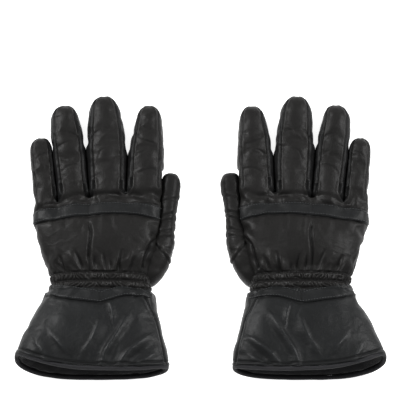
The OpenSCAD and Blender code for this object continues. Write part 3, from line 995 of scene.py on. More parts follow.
def on_skin(tree, outside, inside):
    """Where the way from one point to the other meets the skin, and the way out of it there."""
    way = Vector(inside) - Vector(outside)
    place, normal, _, _ = tree.ray_cast(Vector(outside), way.normalized(), way.length)
    if place is None:
        place, normal, _, _ = tree.find_nearest(Vector(outside))
    return np.array(place), np.array(normal)


STRAP_POINTS = 9  # points from one edge of a strap to the other
STRAP_SUNK = 0.5  # how far a strap's underside lies in the skin
PROBE_OUT, PROBE_IN = -9.0, 8.0  # depths between which the skin is looked for
ROUNDED = 0.72  # where a strap's edge starts to turn down, as a share of its half width
EDGE_FALL = 0.45


def strap_loops(tree, rows, turns, thickness):
    """Cross-sections of a strap of leather that lies on the skin, and the lines of its top. Rows
    give its two edges for places across the glove, and turns the angles round it."""
    rows = np.array(rows, float)
    loops, tops = [], []
    for place_along, turn in enumerate(turns):
        thin = max(0.3, math.sin(math.pi * place_along / (len(turns) - 1)) ** 0.4)
        probe = body_point(np.array(rows[:, 1:3].mean()), turn)
        low, high = (float(np.interp(probe[0], rows[:, 0], rows[:, k])) for k in (1, 2))
        top, under, normals = [], [], []
        for share in np.linspace(0, 1, STRAP_POINTS):
            y = low + (high - low) * share
            probes = [[float(c) for c in body_point(y, turn, depth)]
                      for depth in (PROBE_OUT, PROBE_IN)]
            place, normal = on_skin(tree, *probes)
            top.append(place)
            normals.append(normal)
        mean = np.mean(normals, axis=0)
        mean /= np.linalg.norm(mean)
        for k, place in enumerate(top):
            edge = max(0.0, (abs(2 * k / (STRAP_POINTS - 1) - 1) - ROUNDED) / (1 - ROUNDED))
            under.append(place - mean * STRAP_SUNK)
            top[k] = place + mean * thickness * thin * (1 - EDGE_FALL * edge**2)
        loops.append(top + under[::-1])
        tops.append(top)
    loops = np.array(loops)
    # A stitched strap bridges the small wrinkles under it
    for _ in range(2):
        loops[1:-1] = 0.25 * loops[:-2] + 0.5 * loops[1:-1] + 0.25 * loops[2:]
    return loops, np.array(tops)


# The thumb and its gusset: place along the glove, outer edge, half width
THUMB_ROWS = (
    (92, 50, 5.5), (97, 56.5, 10), (102, 60.8, 12), (110, 65.6, 14), (118, 68.4, 14.5),
    (126, 70.4, 14.0), (134, 71.2, 12.0), (142, 71.2, 10.3), (150, 71.4, 9.4), (158, 71.8, 8.9),
    (166, 72.6, 8.8), (174, 73.8, 8.9), (182, 75.2, 9.3), (188, 76.4, 9.6), (194, 76.8, 9.6),
    (198, 76.4, 9.4),
)
THUMB_HEIGHTS = ((92, 100, 112, 126, 150, 200), (8, 11.3, 12, 11.6, 10.8, 10.2))
THUMB_END = 203.8
THUMB_TIP = 11.0
THUMB_TIP_POWER = 2.3
THUMB_TOP = 24.0
GUSSET_END = 128.0
THUMB_AXIS = 11  # height of the thumb's middle


def thumb_middle(y):
    """Where the thumb's middle is across the hand."""
    rows = np.array(THUMB_ROWS)
    return np.interp(y, rows[:, 0], rows[:, 1] - rows[:, 2])


def thumb_half_width(y):
    """Half the thumb's width at a place along the glove."""
    return along(THUMB_ROWS, y, 2)


def thumb_point(y, angle):
    """Points of the thumb's cross-section at angles in radians."""
    share = np.clip((np.asarray(y, float) - THUMB_END + THUMB_TIP) / THUMB_TIP, 0, 1)
    taper = (1 - share**THUMB_TIP_POWER) ** (1 / THUMB_TIP_POWER)
    tall = np.interp(y, *THUMB_HEIGHTS)
    x = thumb_middle(y) + thumb_half_width(y) * taper * power(np.cos(angle), 2 / FINGER_POWER)
    z = tall + tall * taper * power(np.sin(angle), 2 / FINGER_POWER)
    return x, y, np.maximum(z, 0.0)


def build_thumb():
    """The thumb and its gusset as one tube. Its root lies inside the side of the hand."""
    angles = np.linspace(0, 2 * math.pi, 25)[:-1] + math.radians(7.5)
    steps = np.concatenate([np.linspace(92, THUMB_END - THUMB_TIP, 32),
                            THUMB_END - THUMB_TIP * np.array((0.72, 0.48, 0.28, 0.14, 0.05))])
    loops = [np.column_stack(thumb_point(np.full(24, y), angles)) for y in steps]
    surface = outward(lofted(loops))
    middle = surface.points[surface.faces].mean(axis=1)
    back = middle[:, 2] > THUMB_AXIS
    surface.tags = np.where(middle[:, 1] < GUSSET_END, 0, np.where(back, 1, 2))
    return surface


THUMB_TAGS = ("thumb_gusset", "thumb_back", "thumb_front")
THUMB_CREASES = (124, 137, 143, 155, 161, 176)
THUMB_SEAMS = (0.12, math.pi - 0.2)  # angles of the seams on its two sides
THUMB_SEAM_DEPTH = 0.85
GUSSET_SEAM = 113
GUSSET_SLANT = 0.9


def shaped_thumb(surface, seed):
    """The thumb's own relief, and where its dye is darkened at seams and by painted shade, and
    lightened by painted highlights on its folds.
    """
    points = surface.points.copy()
    x, y, z = points.T
    rng = np.random.default_rng(seed)
    side = np.arctan2(z - THUMB_AXIS, x - thumb_middle(y))
    lift = 0.5 * noise(points, (14, 12, 12), seed) + 0.2 * noise(points, (6, 5, 6), seed + 1)
    lift += 0.06 * noise(points, (3, 3, 3), seed + 2)
    fold = np.zeros(len(points))
    # Creases across the thumb, each with a painted highlight on the rise beyond it
    for place in THUMB_CREASES:
        bow = place + rng.uniform(-1.5, 1.5) + rng.uniform(1, 3) * np.cos(side * 1.3)
        size = rng.uniform(0.25, 0.6)
        lift -= size * bell(y - bow, 1.5)
        lift += 0.6 * size * bell(y - bow - 3.2, 2.0)
        mark(fold, size * bell(y - bow - 3.2, 1.3))
    # Painted shade darkens the thumb beyond its gusset
    seam = 0.4 * smooth(GUSSET_END, 150, y)
    for turn in THUMB_SEAMS:
        distance = np.abs((side - turn + math.pi) % (2 * math.pi) - math.pi) * 9
        reach = smooth(128, 134, y)
        lift -= THUMB_SEAM_DEPTH * reach * bell(distance, 1.0)
        lift += 0.35 * reach * bell(distance - 2.4, 1.5)
        mark(seam, reach * bell(distance, 0.9))
    # The stitched join of the gusset and the thumb, darkened, with a painted highlight on the rise
    # beside it
    cross = GUSSET_SEAM + GUSSET_SLANT * (thumb_middle(y) + 14 - x)
    joint = bell(y - cross, 1.1) * (x > thumb_middle(y) - 8)
    lift += -0.8 * joint + 0.7 * bell(y - cross - 2.6, 2.0)
    mark(seam, joint)
    mark(fold, 0.7 * bell(y - cross - 2.8, 1.6))
    press(surface, lift, z)
    return seam, np.clip(fold, 0, 1)


THUMB_ROOM = 0.4


def clear_of_thumb(surface):
    """Draws the side of the hand in where the thumb lies against it."""
    x, y, z = surface.points.T
    tall = np.clip(1 - np.abs((z - THUMB_AXIS) / 12.5) ** FINGER_POWER, 0, 1)
    limit = thumb_middle(y) - thumb_half_width(y) * tall ** (1 / FINGER_POWER) - THUMB_ROOM
    share = smooth(126, 136, y) * (1 - smooth(203, 207, y)) * (z < THUMB_TOP)
    surface.points[:, 0] -= np.maximum(0, x - limit) * share * (x > 20)


# ==== Pieces ====


PATTERN_STEP = 40.0  # how far apart the two gloves lie in their materials' patterns


def add_piece(name, surface, side, material, count, attributes=None, normals=None):
    """A finished object in the pair's frame, with its rest place kept for its materials."""
    faces = surface.faces if side == "left" else surface.faces[:, ::-1]
    world = to_world(surface.points, side)
    mesh = bpy.data.meshes.new(f"{side}_{name}")
    mesh.from_pydata(world.tolist(), [], faces.tolist())
    mesh.polygons.foreach_set("use_smooth", np.ones(len(faces), bool))
    keep = mesh.attributes.new("rest_place", "FLOAT_VECTOR", "POINT")
    shifted = surface.points + (0, 0, PATTERN_STEP * count)
    keep.data.foreach_set("vector", shifted.astype(np.float32).ravel())
    for key, values in (attributes or {}).items():
        layer = mesh.attributes.new(key, "FLOAT", "POINT")
        layer.data.foreach_set("value", np.asarray(values, np.float32))
    mesh.materials.append(material)
    if normals is not None:
        turned = normals * ((1, 1, 1) if side == "left" else (-1, 1, 1))
        mesh.normals_split_custom_set_from_vertices(turned.tolist())
    mesh.update()
    return link(f"{side}_{name}", mesh)


def parted(surface, numbers):
    """The part of a surface with these tags, and which of its points that part uses."""
    faces = surface.faces[np.isin(surface.tags, numbers)]
    used, new = np.unique(faces, return_inverse=True)
    return Surface(surface.points[used], new.reshape(faces.shape)), used


def side_point(place, side):
    """One place of the glove's own frame, in metres in the pair's frame."""
    return tuple(to_world(np.array([place], float), side)[0])


# Where the leather would start and stop turning, along the glove from a finger's hinge and at the
# thumb, and the share of a finger's lean that the turning line would follow. ride_panel works out
# these points but makes nothing turn.
BEND_BACK, BEND_AHEAD = 7, 15
BEND_LEAN = 1.4
THUMB_BEND = (118, 140)
WRIST_HEIGHT = 16


def ride_panel(piece, side, name):
    """Puts a panel, or what lies in it, on the body of its cuff or its hand. A piece of a finger,
    the thumb or the wrist follows no body: its place is only baked into its mesh.
    """
    finger = name.split("_")[0]
    hand = side + "_hand"
    if finger in FINGERS:
        x, y, z = glove_place(finger + "_bend")
        shape = FINGER_SHAPES[finger]
        lean = (shape["across"][-1][1] - x) / shape["end"] * BEND_LEAN
        start = (x - BEND_BACK * lean, y - BEND_BACK, z)
        end = (x + BEND_AHEAD * lean, y + BEND_AHEAD, z)
        side_point(start, side)
        side_point(end, side)
        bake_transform(piece)
    elif finger == "thumb":
        x, _, z = glove_place("thumb_swing")
        start, end = ((x, y, z) for y in THUMB_BEND)
        side_point(start, side)
        side_point(end, side)
        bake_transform(piece)
    elif finger == "wrist":
        start, end = (0, WRIST_HIGH, WRIST_HEIGHT), (0, WRIST_LOW, WRIST_HEIGHT)
        side_point(start, side)
        side_point(end, side)
        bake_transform(piece)
    elif finger in ("gauntlet", "cuff"):
        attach(piece, side + "_cuff")
    else:
        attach(piece, hand)


# ==== Materials ====


class Shade:
    """A number that varies over a surface. Arithmetic with it adds Math nodes."""

    def __init__(self, finish, socket):
        self.finish = finish
        self.socket = socket

    def math(self, operation, *others):
        sockets = dict(enumerate(others))
        node = self.finish.node("ShaderNodeMath", {"operation": operation}, sockets)
        return Shade(self.finish, node.outputs[0])

    def __add__(self, other):
        return self.math("ADD", self, other)

    def __sub__(self, other):
        return self.math("SUBTRACT", self, other)

    def __rsub__(self, other):
        return self.math("SUBTRACT", other, self)

    def __mul__(self, other):
        return self.math("MULTIPLY", self, other)

    __radd__ = __add__
    __rmul__ = __mul__

    def clamped(self):
        return self.math("MINIMUM", self.math("MAXIMUM", self, 0.0), 1.0)


class Finish:
    """A material and the nodes that make it."""

    def __init__(self, name):
        self.material = bpy.data.materials.new(name)
        self.material.use_nodes = True
        self.tree = self.material.node_tree
        self.tree.nodes.clear()
        self.surface = self.node("ShaderNodeBsdfPrincipled")
        output = self.node("ShaderNodeOutputMaterial")
        self.tree.links.new(self.surface.outputs["BSDF"], output.inputs["Surface"])

    def node(self, kind, settings=None, sockets=None):
        """Adds a node with its settings, then the values or links of its sockets."""
        node = self.tree.nodes.new(kind)
        for key, value in (settings or {}).items():
            setattr(node, key, value)
        for key, value in (sockets or {}).items():
            self.fill(node.inputs[key], value)
        return node

    def fill(self, socket, value):
        if isinstance(value, Shade):
            value = value.socket
        if isinstance(value, bpy.types.NodeSocket):
            self.tree.links.new(value, socket)
        else:
            socket.default_value = value

    def set(self, **sockets):
        """Sets sockets of the surface, with their names in words joined by underscores."""
        names = {socket.name.lower().replace(" ", "_"): socket for socket in self.surface.inputs}
        for key, value in sockets.items():
            self.fill(names[key], value)

    def kept(self, name):
        """A number stored with the points of a piece."""
        node = self.node("ShaderNodeAttribute", {"attribute_name": name})
        return Shade(self, node.outputs["Fac"])

    def place(self):
        """The rest place of each point, in millimetres."""
        return self.node("ShaderNodeAttribute", {"attribute_name": "rest_place"}).outputs["Vector"]

    def noise(self, place, scale, detail=3.0, roughness=0.55, stretch=None):
        if stretch:
            place = self.node("ShaderNodeVectorMath", {"operation": "MULTIPLY"},
                              {0: place, 1: stretch}).outputs["Vector"]
        node = self.node("ShaderNodeTexNoise", None, {
            "Vector": place, "Scale": scale, "Detail": detail, "Roughness": roughness,
        })
        return Shade(self, node.outputs["Fac"])

    def cells(self, place, scale, feature):
        node = self.node("ShaderNodeTexVoronoi", {"feature": feature},
                         {"Vector": place, "Scale": scale})
        return Shade(self, node.outputs["Distance"])

    def mixed(self, share, one, other):
        """A colour between two others."""
        node = self.node("ShaderNodeMix", {"data_type": "RGBA"}, {0: share, 6: one, 7: other})
        return node.outputs[2]

    def bump(self, height, distance, strength=1.0, under=None):
        """The surface's slope for a height in metres, on top of another relief."""
        sockets = {"Height": height, "Distance": distance, "Strength": strength}
        if under is not None:
            sockets["Normal"] = under
        return self.node("ShaderNodeBump", None, sockets).outputs["Normal"]


def rgba(colour, share):
    """A colour made darker or lighter, as four numbers."""
    return tuple(c * share for c in colour[:3]) + (1.0,)


# The dye's brightness that is left in seams and in the painted shade of creases and grooves
SEAM_SHADE = 0.18  # how much of the dye's brightness is left in a seam
# How much brighter the dye is painted on the crests of folds: a painted highlight
FOLD_HIGHLIGHT = 2.1
PORE_DEPTH = 0.00022  # for a grain of one millimetre, in metres
CREASE_STEP = 0.0009


def leather(name, colour, roughness, grain, polish, highlight):
    """Dyed leather: pores, fine creases, darker seams, painted shade in creases and grooves, and
    painted highlights on the crests of folds, which are also a little glossier.
    """
    finish = Finish(name)
    place = finish.place()
    seam, fold = finish.kept("seam"), finish.kept("fold")
    pores = finish.cells(place, 1.0 / grain, "F1")
    creases = finish.cells(place, 0.42 / grain, "DISTANCE_TO_EDGE")
    fine = finish.noise(place, 1.9 / grain, 2.0, 0.6)
    patch = finish.noise(place, 0.055, 3.0, 0.6)
    mottle = finish.noise(place, 0.4, 4.0, 0.6)
    lines = finish.noise(place, 0.22, 4.0, 0.7, (1.0, 2.6, 1.0))
    tone = (patch * 0.75 + mottle * 0.45 - 0.1).clamped()
    body = finish.mixed(tone, rgba(colour, 0.62), rgba(colour, 1.4))
    # Painted highlights on the crests of folds, then darker seams and painted shade in creases and
    # grooves
    highlighted = finish.mixed((fold * highlight).clamped(), body, rgba(colour, FOLD_HIGHLIGHT))
    shaded = finish.mixed((seam * 0.85).clamped(), highlighted, rgba(colour, SEAM_SHADE))
    rough = mottle * 0.18 + patch * 0.14 + seam * 0.25 - fold * 0.2 + (roughness - 0.16)
    height = pores * 0.55 + fine * 0.35 + lines * 0.9
    soft = finish.bump(height, PORE_DEPTH * grain, 0.85)
    normal = finish.bump(creases.math("MINIMUM", creases, 0.12), CREASE_STEP * grain, 0.5, soft)
    finish.set(base_color=shaded, roughness=rough.clamped(), normal=normal)
    finish.set(specular_ior_level=0.1, coat_weight=polish, coat_roughness=0.25)
    return finish.material


def fleece(name, colour):
    """Brushed lining: a soft pile in small clumps."""
    finish = Finish(name)
    place = finish.place()
    clumps = finish.noise(place, 0.55, 5.0, 0.7)
    pile = finish.noise(place, 2.6, 3.0, 0.7)
    finish.set(
        base_color=finish.mixed(clumps, rgba(colour, 0.45), rgba(colour, 1.7)),
        roughness=(pile * 0.1 + 0.88).clamped(),
        normal=finish.bump(clumps * 0.7 + pile * 0.5, 0.0012),
    )
    finish.set(specular_ior_level=0.12, sheen_weight=0.25, sheen_roughness=0.6)
    return finish.material


def tape(name, colour):
    """Woven binding: fine ribs across a matt band."""
    finish = Finish(name)
    place = finish.place()
    ribs = finish.node("ShaderNodeTexWave", {"bands_direction": "DIAGONAL"}, {
        "Vector": place, "Scale": 0.55, "Distortion": 0.8, "Detail": 2.0,
    })
    ribs = Shade(finish, ribs.outputs["Fac"])
    cloud = finish.noise(place, 0.3, 3.0)
    finish.set(
        base_color=finish.mixed(cloud, rgba(colour, 0.6), rgba(colour, 1.4)),
        roughness=(ribs * 0.12 + 0.66).clamped(),
        normal=finish.bump(ribs * 0.6 + cloud * 0.5, 0.0004),
    )
    finish.set(specular_ior_level=0.3)
    return finish.material


def thread(name, colour):
    """Twisted sewing thread."""
    finish = Finish(name)
    place = finish.node("ShaderNodeTexCoord").outputs["Object"]
    twist = finish.noise(place, 2600.0, 1.0, 0.5)
    finish.set(
        base_color=finish.mixed(twist, rgba(colour, 0.7), rgba(colour, 1.35)),
        roughness=(twist * 0.2 + 0.45).clamped(),
        normal=finish.bump(twist, 0.0001),
    )
    return finish.material


# ==== The shaped skin of each glove, made once ====

SEEDS = {"left": 14, "right": 31}


class Made:
    """A finished surface with what its materials and its neighbours need."""

    def __init__(self, surface, seam, fold):
        self.surface = surface
        self.seam = seam
        self.fold = fold
        self.normals = surface.normals()
        self.tree = surface.tree()


def levels():
    """How finely the skins are subdivided."""
    return 2


@functools.cache
def base_skin():
    """The coarse skin that both gloves start from."""
    skin = build_skin()
    return Surface(skin.points, skin.quads, [TAGS.index(tag) for tag in skin.tags])


@functools.cache
def skin_of(side):
    """The finished skin of one glove."""
    base = swollen(base_skin(), SEEDS[side])
    surface = refined(base, levels())
    clear_of_thumb(surface)
    seam, fold = shaped(surface, SEEDS[side])
    pressed_together(surface)
    return Made(surface, seam, fold)


@functools.cache
def thumb_of(side):
    """The finished thumb of one glove."""
    surface = refined(build_thumb(), levels())
    seam, fold = shaped_thumb(surface, SEEDS[side] + 3)
    return Made(surface, seam, fold)


# Leathers: which dye, roughness, share of the grain's width, polish, share of the painted highlight
# on folds
LEATHERS = {
    "hand_leather": ("hand_colour", 0.44, 1.0, 0.035, 0.6),
    "palm_leather": ("hand_colour", 0.5, 1.1, 0.035, 0.6),
    "gauntlet_leather": ("gauntlet_colour", 0.42, 1.0, 0.035, 0.6),
    "fourchette_leather": ("side_colour", 0.52, 0.8, 0.035, 0.6),
    "elastic": ("hand_colour", 0.48, 0.9, 0.04, 0.4),
}


@functools.cache
def finishes():
    """Every material of the gloves, by the name of its slot."""
    look = bpy.context.scene.gloves
    made = {name: leather(name, getattr(look, dye), roughness, look.grain * grain, *rest)
            for name, (dye, roughness, grain, *rest) in LEATHERS.items()}
    for name, recipe in (("lining", fleece), ("binding", tape), ("thread", thread)):
        made[name] = recipe(name, getattr(look, name + "_colour"))
    return made


PANEL_SLOTS = {
    "gauntlet_back": "gauntlet_leather", "gauntlet_palm": "gauntlet_leather",
    "wrist_elastic": "elastic", "hand_back": "hand_leather", "palm": "palm_leather",
    "back": "hand_leather", "front": "hand_leather", "fourchettes": "fourchette_leather",
}


def add_panels(made, tags, side, count):
    """One piece for each tag of a finished surface."""
    for number, tag in enumerate(tags):
        part, used = parted(made.surface, number)
        slot = PANEL_SLOTS.get(tag) or PANEL_SLOTS.get(tag.split("_")[1], "hand_leather")
        marks = {"seam": made.seam[used], "fold": made.fold[used]}
        piece = add_piece(tag + "_leather", part, side, finishes()[slot], count, marks,
                          made.normals[used])
        ride_panel(piece, side, tag)
        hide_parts(f"{side}_{tag}")


# ==== Settings ====


def dye(name, description, default):
    """A colour that can be changed."""
    return FloatVectorProperty(name=name, description=description, default=default,
                               subtype="COLOR", size=3, min=0, max=1)


class GloveSettings(bpy.types.PropertyGroup):
    """Sizes and colours that can be changed before the gloves are built."""

    hand_colour: dye("Hand leather", "Dye of the hand and fingers", (0.0088, 0.0084, 0.0081))
    gauntlet_colour: dye("Gauntlet leather", "Dye of the gauntlet, the strip and the band",
        (0.0084, 0.0089, 0.0092))
    side_colour: dye("Side leather", "Dye of the thin leather between the fingers",
        (0.0070, 0.0070, 0.0072))
    lining_colour: dye("Lining", "Colour of the brushed lining", (0.006, 0.006, 0.007))
    binding_colour: dye("Binding", "Colour of the tape round the mouth", (0.011, 0.011, 0.013))
    thread_colour: dye("Thread", "Colour of the top stitching", (0.035, 0.037, 0.039))
    grain: FloatProperty(
        name="Grain", description="Width of one pebble of the leather's grain, in millimetres",
        default=0.85, min=0.3, max=3)
    stitch_spacing: FloatProperty(
        name="Stitch spacing", description="Distance from one stitch to the next",
        default=0.0026, min=0.001, max=0.01, unit="LENGTH")
    stitch_length: FloatProperty(
        name="Stitch length", description="Length of one stitch",
        default=0.0018, min=0.0005, max=0.008, unit="LENGTH")
    thread_thickness: FloatProperty(
        name="Thread thickness", description="Thickness of the sewing thread",
        default=0.00055, min=0.0002, max=0.002, unit="LENGTH")
    strap_thickness: FloatProperty(
        name="Strap thickness", description="How far the strip and the band stand off the leather",
        default=0.0016, min=0.0005, max=0.004, unit="LENGTH")
    binding_radius: FloatProperty(
        name="Binding radius", description="Radius of the rolled binding",
        default=0.0021, min=0.001, max=0.004, unit="LENGTH")
    camera_lens: FloatProperty(
        name="Lens", description="Focal length of the camera in millimetres",
        default=400, min=35, max=600)


class GLOVES_OT_panels(bpy.types.Operator):
    """Builds the leather panels of the hand, the fingers, the wrist and the gauntlet"""

    bl_idname = "gloves.panels"
    bl_label = "Leather Panels"

    def execute(self, context):
        for count, side in enumerate(SIDES):
            add_panels(skin_of(side), TAGS, side, count)
        return {"FINISHED"}


class GLOVES_OT_thumbs(bpy.types.Operator):
    """Builds the thumbs and the gussets that join them to the hands"""

    bl_idname = "gloves.thumbs"
    bl_label = "Thumbs"

    def execute(self, context):
        for count, side in enumerate(SIDES):
            add_panels(thumb_of(side), THUMB_TAGS, side, count)
        return {"FINISHED"}


# Edges of the knuckle strip and the wrist band: place across, and the two edges along the glove
STRIP_ROWS = (
    (-61.5, 149.5, 161.5), (-55, 150, 163.3), (-42.2, 151.2, 165.2), (-22.8, 153.8, 167.8),
    (-3.4, 155.6, 168.8), (16, 156.7, 169.1), (35.2, 156.1, 168.3), (48, 154.6, 167.3),
    (57.7, 152.4, 165.9),
)
BAND_ROWS = (
    (-52, 79.5, 89.5), (-44.6, 76.6, 88.4), (-34.2, 73, 86.4), (-23.7, 70.8, 84.8),
    (-13.3, 69.2, 83), (-2.8, 67.4, 81), (1.9, 66.5, 79), (7.2, 68.6, 81.4), (10.5, 70.2, 82.6),
    (17.6, 72.4, 84.6), (22.8, 74.1, 85), (33, 74.7, 85), (40, 74.6, 82.5), (44, 74, 79),
)
# Straps: the part of the glove that each belongs to, its edges, where it starts and ends round the
# glove in degrees, its share of the thickness, and where it is joined or folded: place across,
# darkness
STRAPS = {
    "knuckle_strip": ("hand", STRIP_ROWS, (16, 186), 1.0, ((-10.2, 0.3), (-4.6, 0.3))),
    "wrist_band": ("wrist", BAND_ROWS, (24, 176), 0.95, ((1.2, 0.9), (4.4, 0.4))),
}
STRAP_SECTIONS = 90
JOIN_WIDTH = 0.9
JOIN_DEPTH = 0.6


@functools.cache
def strap_of(side, name):
    """The cross-sections of one strap and the lines of its top."""
    _, rows, turns, share, _ = STRAPS[name]
    thickness = bpy.context.scene.gloves.strap_thickness / MM
    turns = np.radians(np.linspace(*turns, STRAP_SECTIONS))
    return strap_loops(skin_of(side).tree, rows, turns, thickness * share)


class GLOVES_OT_straps(bpy.types.Operator):
    """Builds the raised strip over the knuckles and the band below the elastic"""

    bl_idname = "gloves.straps"
    bl_label = "Strip and Band"

    def execute(self, context):
        for count, side in enumerate(SIDES):
            for name, (part, _, _, _, joins) in STRAPS.items():
                surface = refined(outward(lofted(strap_of(side, name)[0])), 1)
                points = surface.points
                # Darkness across each strap where it is joined, and painted shade in the fold across
                # the band
                seam = sum(dark * bell(points[:, 0] - x, JOIN_WIDTH) for x, dark in joins)
                uneven = 0.12 * noise(points, (9, 7, 9), SEEDS[side] + 20)
                surface.push(uneven - JOIN_DEPTH * seam)
                piece = add_piece(name + "_leather", surface, side, finishes()["gauntlet_leather"],
                                  count, {"seam": seam, "fold": np.zeros(len(points))})
                ride_panel(piece, side, part)
                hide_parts(f"{side}_{name}")
        return {"FINISHED"}


LINING_DEPTH = 1.9
LINING_BASE = 0.5  # how far the lining stays above the table
# The gauntlet's lining, down its inside and up again: place along the glove, depth
CUFF_LINING_ROWS = (
    (86, 2.6), (70, 2.8), (50, 2.9), (30, 2.9), (14, 3.0), (7, 3.1), (4.2, 3.4), (3.4, 4.4),
    (4.6, 5.6), (8, 6.4), (14, 6.8), (22, 7), (30, 7), (40, 6.8), (50, 6.5), (60, 6.1), (70, 5.6),
    (78, 5.2), (86, 4.8),
)


class GLOVES_OT_lining(bpy.types.Operator):
    """Builds the padded lining inside every part of both gloves"""

    bl_idname = "gloves.lining"
    bl_label = "Lining"

    def execute(self, context):
        parts = {"wrist": ("wrist_elastic",), "hand": ("hand_back", "palm")}
        for finger in FINGERS:
            parts[finger] = tuple(f"{finger}_{panel}" for panel in FINGER_PANELS)
        angles = np.linspace(0, 2 * math.pi, 121)[:-1]
        for count, side in enumerate(SIDES):
            for name, tags in parts.items():
                inner = parted(self.inside(skin_of(side)), [TAGS.index(tag) for tag in tags])[0]
                self.finish_lining(name, inner, side, count)
            self.finish_lining("thumb", self.inside(thumb_of(side)), side, count)
            loops = [np.column_stack(body_point(y, angles, depth)) for y, depth in CUFF_LINING_ROWS]
            surface = refined(outward(lofted(loops, ring=True)), 1)
            surface.push(0.35 * noise(surface.points, (5, 5, 5), SEEDS[side] + 40))
            self.finish_lining("cuff", surface, side, count)
        return {"FINISHED"}

    def inside(self, made):
        """A finished surface drawn in to where its lining lies."""
        surface = made.surface
        return Surface(surface.points - made.normals * LINING_DEPTH, surface.faces, surface.tags)

    def finish_lining(self, name, surface, side, count):
        surface.points[:, 2] = np.maximum(surface.points[:, 2], LINING_BASE)
        piece = add_piece(name + "_padding", surface, side, finishes()["lining"], count)
        ride_panel(piece, side, name)
        if name != "wrist":
            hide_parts(f"{side}_{name}_lining")


BINDING_Y = 0.7  # how far the binding's middle stands in from the mouth


def unit(ways):
    """Directions made one long."""
    return ways / np.linalg.norm(ways, axis=1)[:, None]


class GLOVES_OT_binding(bpy.types.Operator):
    """Rolls the binding round the mouth of each gauntlet"""

    bl_idname = "gloves.binding"
    bl_label = "Binding"

    def execute(self, context):
        radius = context.scene.gloves.binding_radius / MM
        angles = np.linspace(0, 2 * math.pi, 181)[:-1]
        turns = np.linspace(0, 2 * math.pi, 11)[:-1]
        for count, side in enumerate(SIDES):
            path = np.column_stack(body_point(BINDING_Y, angles, radius + 0.5))
            path[:, 2] = np.maximum(path[:, 2], radius)
            ahead = np.roll(path, -1, 0) - np.roll(path, 1, 0)
            out = unit(np.cross((0, 1, 0), ahead))
            across = unit(np.cross(ahead, out))
            size = radius * (1 + 0.08 * noise(path, (9, 9, 9), SEEDS[side]))[:, None]
            loops = np.stack(
                [path + size * (math.cos(t) * out + math.sin(t) * across) for t in turns], axis=1)
            surface = refined(outward(lofted(loops, ring=True)), 1)
            piece = add_piece("cuff_binding_tape", surface, side, finishes()["binding"], count)
            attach(piece, side + "_cuff")
            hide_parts(f"{side}_cuff_binding")
        return {"FINISHED"}


# ==== Stitching ====


def stitch_tree(material):
    """Geometry Nodes that lay stitches along a curve at an even spacing."""
    tree = bpy.data.node_groups.new("stitch_line", "GeometryNodeTree")
    tree.interface.new_socket("Geometry", in_out="INPUT", socket_type="NodeSocketGeometry")
    for name in ("Spacing", "Length", "Thickness"):
        tree.interface.new_socket(name, in_out="INPUT", socket_type="NodeSocketFloat")
    tree.interface.new_socket("Geometry", in_out="OUTPUT", socket_type="NodeSocketGeometry")
    nodes, links = tree.nodes, tree.links
    given, result = nodes.new("NodeGroupInput"), nodes.new("NodeGroupOutput")
    even = nodes.new("GeometryNodeResampleCurve")
    even.mode = "LENGTH"
    tangent = nodes.new("GeometryNodeInputTangent")
    turn = nodes.new("FunctionNodeAlignRotationToVector")
    turn.axis = "Z"
    ball = nodes.new("GeometryNodeMeshUVSphere")
    for key, value in (("Segments", 6), ("Rings", 4), ("Radius", 0.5)):
        ball.inputs[key].default_value = value
    size = nodes.new("ShaderNodeCombineXYZ")
    lay = nodes.new("GeometryNodeInstanceOnPoints")
    real = nodes.new("GeometryNodeRealizeInstances")
    paint = nodes.new("GeometryNodeSetMaterial")
    paint.inputs["Material"].default_value = material
    for source, output, target, given_to in (
        (given, "Geometry", even, "Curve"), (given, "Spacing", even, "Length"),
        (tangent, "Tangent", turn, "Vector"), (given, "Thickness", size, "X"),
        (given, "Thickness", size, "Y"), (given, "Length", size, "Z"),
        (even, "Curve", lay, "Points"), (ball, "Mesh", lay, "Instance"),
        (turn, "Rotation", lay, "Rotation"), (size, "Vector", lay, "Scale"),
        (lay, "Instances", real, "Geometry"), (real, "Geometry", paint, "Geometry"),
        (paint, "Geometry", result, "Geometry"),
    ):
        links.new(source.outputs[output], target.inputs[given_to])
    return tree


def stitched(name, lines, tree, look):
    """A plain mesh of stitches along lines of points in metres."""
    curve = bpy.data.curves.new(name + "_path", "CURVE")
    curve.dimensions = "3D"
    for line in lines:
        spline = curve.splines.new("POLY")
        spline.points.add(len(line) - 1)
        for point, place in zip(spline.points, line):
            point.co = (*place, 1)
    path = link(name + "_path", curve)
    modifier = path.modifiers.new("stitches", "NODES")
    modifier.node_group = tree
    sizes = {"Spacing": look.stitch_spacing, "Length": look.stitch_length,
             "Thickness": look.thread_thickness}
    for item in tree.interface.items_tree:
        if item.in_out == "INPUT" and item.name in sizes:
            modifier[item.identifier] = sizes[item.name]
    bpy.context.view_layer.update()
    graph = bpy.context.evaluated_depsgraph_get()
    mesh = bpy.data.meshes.new_from_object(path.evaluated_get(graph))
    mesh.polygons.foreach_set("use_smooth", np.ones(len(mesh.polygons), bool))
    bpy.data.objects.remove(path)
    bpy.data.curves.remove(curve)
    return link(name, mesh)


STITCHED_LINES = (1, 7)  # which points across a strap's top are sewn
UNSTITCHED = 2  # sections left free at each end of a strap


class GLOVES_OT_stitching(bpy.types.Operator):
    """Sews the edges of the strip and the band"""

    bl_idname = "gloves.stitching"
    bl_label = "Stitching"

    def execute(self, context):
        look = context.scene.gloves
        tree = stitch_tree(finishes()["thread"])
        for side in SIDES:
            for name, (part, *_) in STRAPS.items():
                tops = strap_of(side, name)[1][UNSTITCHED:-UNSTITCHED]
                lines = [to_world(tops[:, column], side) for column in STITCHED_LINES]
                piece = stitched(f"{side}_{name}_stitches", lines, tree, look)
                ride_panel(piece, side, part)
        return {"FINISHED"}


# ==== Stage ====


